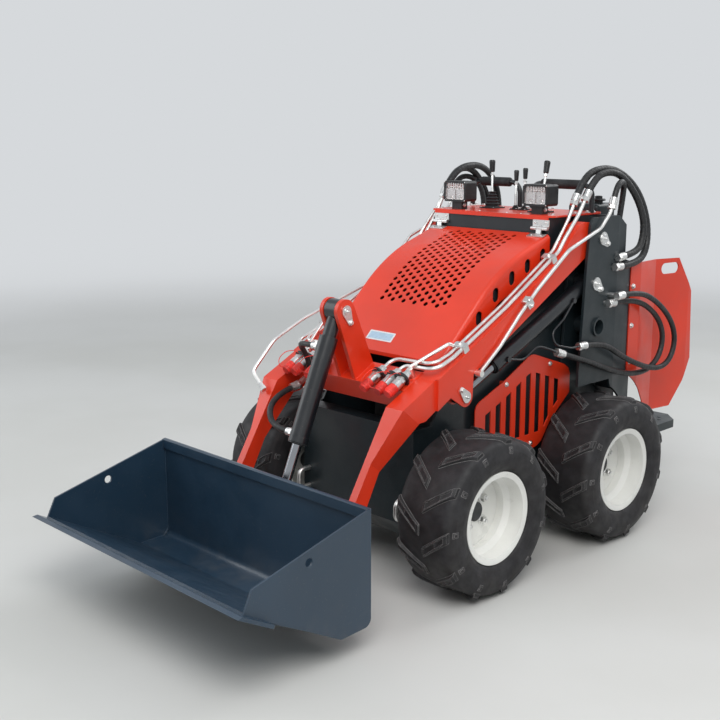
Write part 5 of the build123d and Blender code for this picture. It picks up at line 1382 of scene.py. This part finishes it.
def welds():
    """Weld beads where plates meet."""
    beads = Piece()
    corners = (deck(0, 0.001, 0.0), deck(0, 0.0925, 0.0), deck(0, 0.0925, -0.073), deck(0, 0.001, -0.073))
    for index, side_x in enumerate((0.2425, -0.2425)):
        path = [Vector((side_x, spot.y, spot.z)) for spot in (*corners, corners[0])]
        beads.bead(path, 0.003, 11 + index)
    for index, x in enumerate((0.0392, 0.0248, -0.0248, -0.0392)):
        beads.bead([deck(x, 0.004, 0.0005), deck(x, 0.089, 0.0005)], 0.0026, 21 + index)
    beads.done("boom_welds", "red", "boom")
    seams = Piece()
    floor = ((-1.12, 0.2225), (-0.833, 0.0775), (-0.745, 0.0815), (-0.729, 0.1), (-0.729, 0.398))
    for index, side_x in enumerate((0.4595, -0.4595)):
        seams.bead([(side_x, y, z) for y, z in floor], 0.0026, 31 + index)
    seams.done("bucket_welds", "bucket", "bucket_body")
    mount = Piece()
    for index, x in enumerate((0.2405, 0.2725, -0.2405, -0.2725)):
        mount.bead([(x, -0.7115, 0.108), (x, -0.7115, 0.196)], 0.0026, 41 + index)
    mount.done("mount_welds", "dark", "bucket_body")


welds()


def platform_grip():
    """Raised studs on the standing platform."""
    studs = Piece()
    for row in range(11):
        for column in range(13):
            x = (column - 6) * 0.04 + (0.01 if row % 2 else -0.01)
            y = 0.785 + row * 0.033
            if abs(x) > 0.262 - max(0.0, y - 1.118):
                continue
            studs.lathe((x, y, 0.2618), (0, 0, 1), (
                (0.0078, 0.0), (0.007, 0.0014), (0.0045, 0.0019), (0.002, 0.002),
            ), 14)
    studs.done("platform_studs", "dark", "machine")


platform_grip()


def bent(corners, reach):
    """Points of a pipe through its corners, each rounded off over a reach on both sides."""
    corners = [Vector(spot) for spot in corners]
    path = [corners[0]]
    for before, here, after in zip(corners, corners[1:], corners[2:]):
        first = here + (before - here).normalized() * reach
        last = here + (after - here).normalized() * reach
        for step in range(9):
            share = step / 8
            path.append(first * (1 - share) ** 2 + here * 2 * share * (1 - share) + last * share ** 2)
    return [*path, corners[-1]]


def outer_pipe():
    """Outer pipe on the right arm: it rises beside the others and turns back before the elbow."""
    corners = (
        (-0.3315, 0.094, 0.85), (-0.3315, -0.252, 0.748), (-0.3315, -0.375, 0.695),
        (-0.33, -0.47, 0.602), (-0.27, -0.4735, 0.5535),
    )
    pipe = Piece()
    pipe.tube(bent(corners, 0.02), 0.0058, 18)
    pipe.done("outer_pipe", "pipe", "boom")
    fitting = Piece()
    foot = Vector(corners[-1])
    way = (foot - Vector(corners[-2])).normalized()
    fitting.lathe(foot - way * 0.026, way, (
        (0.0062, 0.0), (0.0088, 0.001), (0.0088, 0.014), (0.008, 0.015),
    ), 24)
    fitting.lathe(foot - way * 0.011, way, ((0.0104, 0.0), (0.0104, 0.012), (0.0092, 0.0135)), 6)
    fitting.done("outer_pipe_fitting", "zinc", "boom")


outer_pipe()


def third_pipe():
    """Pipe from the outermost coupler's elbow over the others to the arm's clamp, on both sides."""
    elbow = deck(coupler_xs[2], 0.066, coupler_height)
    corners = (elbow, (0.2265, -0.3235, 0.6805), (0.2775, -0.206, 0.7425), (0.279, -0.178, 0.729))
    pipe = Piece()
    pipe.tube(bent(corners, 0.008), 0.0056, 18)
    pipe.mirrored()
    pipe.done("third_pipe", "pipe", "boom")


third_pipe()


def filler():
    """Mushroom cap on the tank: a neck, a wide rim and a ribbed grip."""
    low, high = (Vector(corner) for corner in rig.box("filler_cap"))
    centre = ((low.x + high.x) / 2, (low.y + high.y) / 2, low.z)
    wide, tall = (high.x - low.x) / 2, high.z - low.z
    cap = Piece()
    cap.lathe(centre, (0, 0, 1), (
        (wide * 0.62, 0.0), (wide * 0.62, tall * 0.28), (wide * 0.98, tall * 0.34), (wide, tall * 0.4),
        (wide, tall * 0.52), (wide * 0.9, tall * 0.6), (wide * 0.52, tall * 0.64),
        (wide * 0.48, tall * 0.94), (wide * 0.4, tall),
    ), 40)
    count = 12
    for turn in (2 * pi * rib / count for rib in range(count)):
        foot = Vector(centre) + Vector((cos(turn), sin(turn), 0)) * wide * 0.49 + Vector((0, 0, tall * 0.62))
        cap.lathe(foot, (0, 0, 1), (
            (wide * 0.05, 0.0), (wide * 0.05, tall * 0.3), (wide * 0.02, tall * 0.33),
        ), 8)
    cap.done("tank_cap", "plastic", "machine", replaced=("filler_cap",))


filler()


def stage():
    """Pale floor that sweeps up into a pale backdrop all round."""
    wall_radius, wall_height, sweep = 9.0, 6.0, 2.0
    profile = [(0.0, 0.0), (wall_radius - sweep, 0.0)]
    for step in range(1, 13):
        turn = radians(90 * step / 12)
        profile.append((wall_radius - sweep + sweep * sin(turn), sweep - sweep * cos(turn)))
    profile.append((wall_radius, wall_height))
    count = 96
    turns = [2 * pi * k / count for k in range(count)]
    ground = Piece()
    rings = ground.skin([
        [(max(radius, 0.001) * cos(turn), max(radius, 0.001) * sin(turn), height) for turn in turns]
        for radius, height in profile
    ], caps=False)
    for face in ground.form.faces:
        face.smooth = True
    ground.form.faces.new(rings[0])
    mesh = bpy.data.meshes.new("studio_floor")
    ground.form.to_mesh(mesh)
    ground.form.free()
    floor = bpy.data.objects.new("studio_floor", mesh)
    bpy.context.scene.collection.objects.link(floor)
    s = Shade("studio_floor")
    tint = s.mix(s.span(s.noise(0.8, 5.0), 0.35, 0.65), linear(206, 206, 203), linear(212, 212, 210))
    floor_material = s.finish(Base_Color=tint, Roughness=s.span(s.noise(2.0), 0.3, 0.7, 0.75, 0.9))
    seen = s.node("ShaderNodeLightPath")
    background = s.node("ShaderNodeEmission")
    background.inputs["Color"].default_value = linear(214, 217, 220)
    blend = s.node("ShaderNodeMixShader")
    shown = s.math("MAXIMUM", seen.outputs["Is Camera Ray"], seen.outputs["Is Glossy Ray"])
    shown = s.math("MAXIMUM", shown, seen.outputs["Is Transmission Ray"])
    ring = s.node("ShaderNodeVectorMath", operation="LENGTH")
    s.feed(ring.inputs[0], s.place)
    far = s.span(ring.outputs["Value"], 3.0, 8.0)
    s.feed(blend.inputs[0], s.math("MULTIPLY", shown, far))
    s.feed(blend.inputs[1], s.surface.outputs["BSDF"])
    s.feed(blend.inputs[2], background.outputs["Emission"])
    s.feed(s.tree.nodes["Material Output"].inputs["Surface"], blend.outputs["Shader"])
    mesh.materials.append(floor_material)
    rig.stage(floor)


def lamp(name, place, aim, size, power, tint=(1.0, 1.0, 1.0)):
    """Soft square lamp that looks at a point."""
    data = bpy.data.lights.new(name, "AREA")
    data.shape = "SQUARE"
    data.size = size
    data.energy = power
    data.color = tint
    light = bpy.data.objects.new(name, data)
    light.location = place
    light.rotation_euler = (Vector(aim) - Vector(place)).to_track_quat("-Z", "Y").to_euler()
    bpy.context.scene.collection.objects.link(light)


def lighting():
    """A large soft key above the front left, a fill, a back light and a pale sky."""
    aim = (0.0, 0.0, 0.5)
    lamp("key", (2.6, -2.2, 3.9), aim, 2.8, 130, (1.0, 0.985, 0.96))
    lamp("fill", (-3.4, -2.4, 2.6), aim, 3.0, 45, (0.95, 0.98, 1.0))
    lamp("back", (0.8, 3.8, 3.6), aim, 3.0, 70)
    world = bpy.data.worlds.new("sky")
    world.use_nodes = True
    sky = world.node_tree.nodes["Background"]
    sky.inputs["Color"].default_value = (0.9, 0.95, 1.0, 1.0)
    sky.inputs["Strength"].default_value = 0.62
    bpy.context.scene.world = world
    bpy.context.scene.view_settings.view_transform = "Standard"


stage()
lighting()

with open("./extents.json", "w") as size_file:
    boxes = {"cad": cad_box, "visual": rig.bounds()}
    json.dump({key: [[float(v) for v in corner] for corner in value] for key, value in boxes.items()}, size_file)
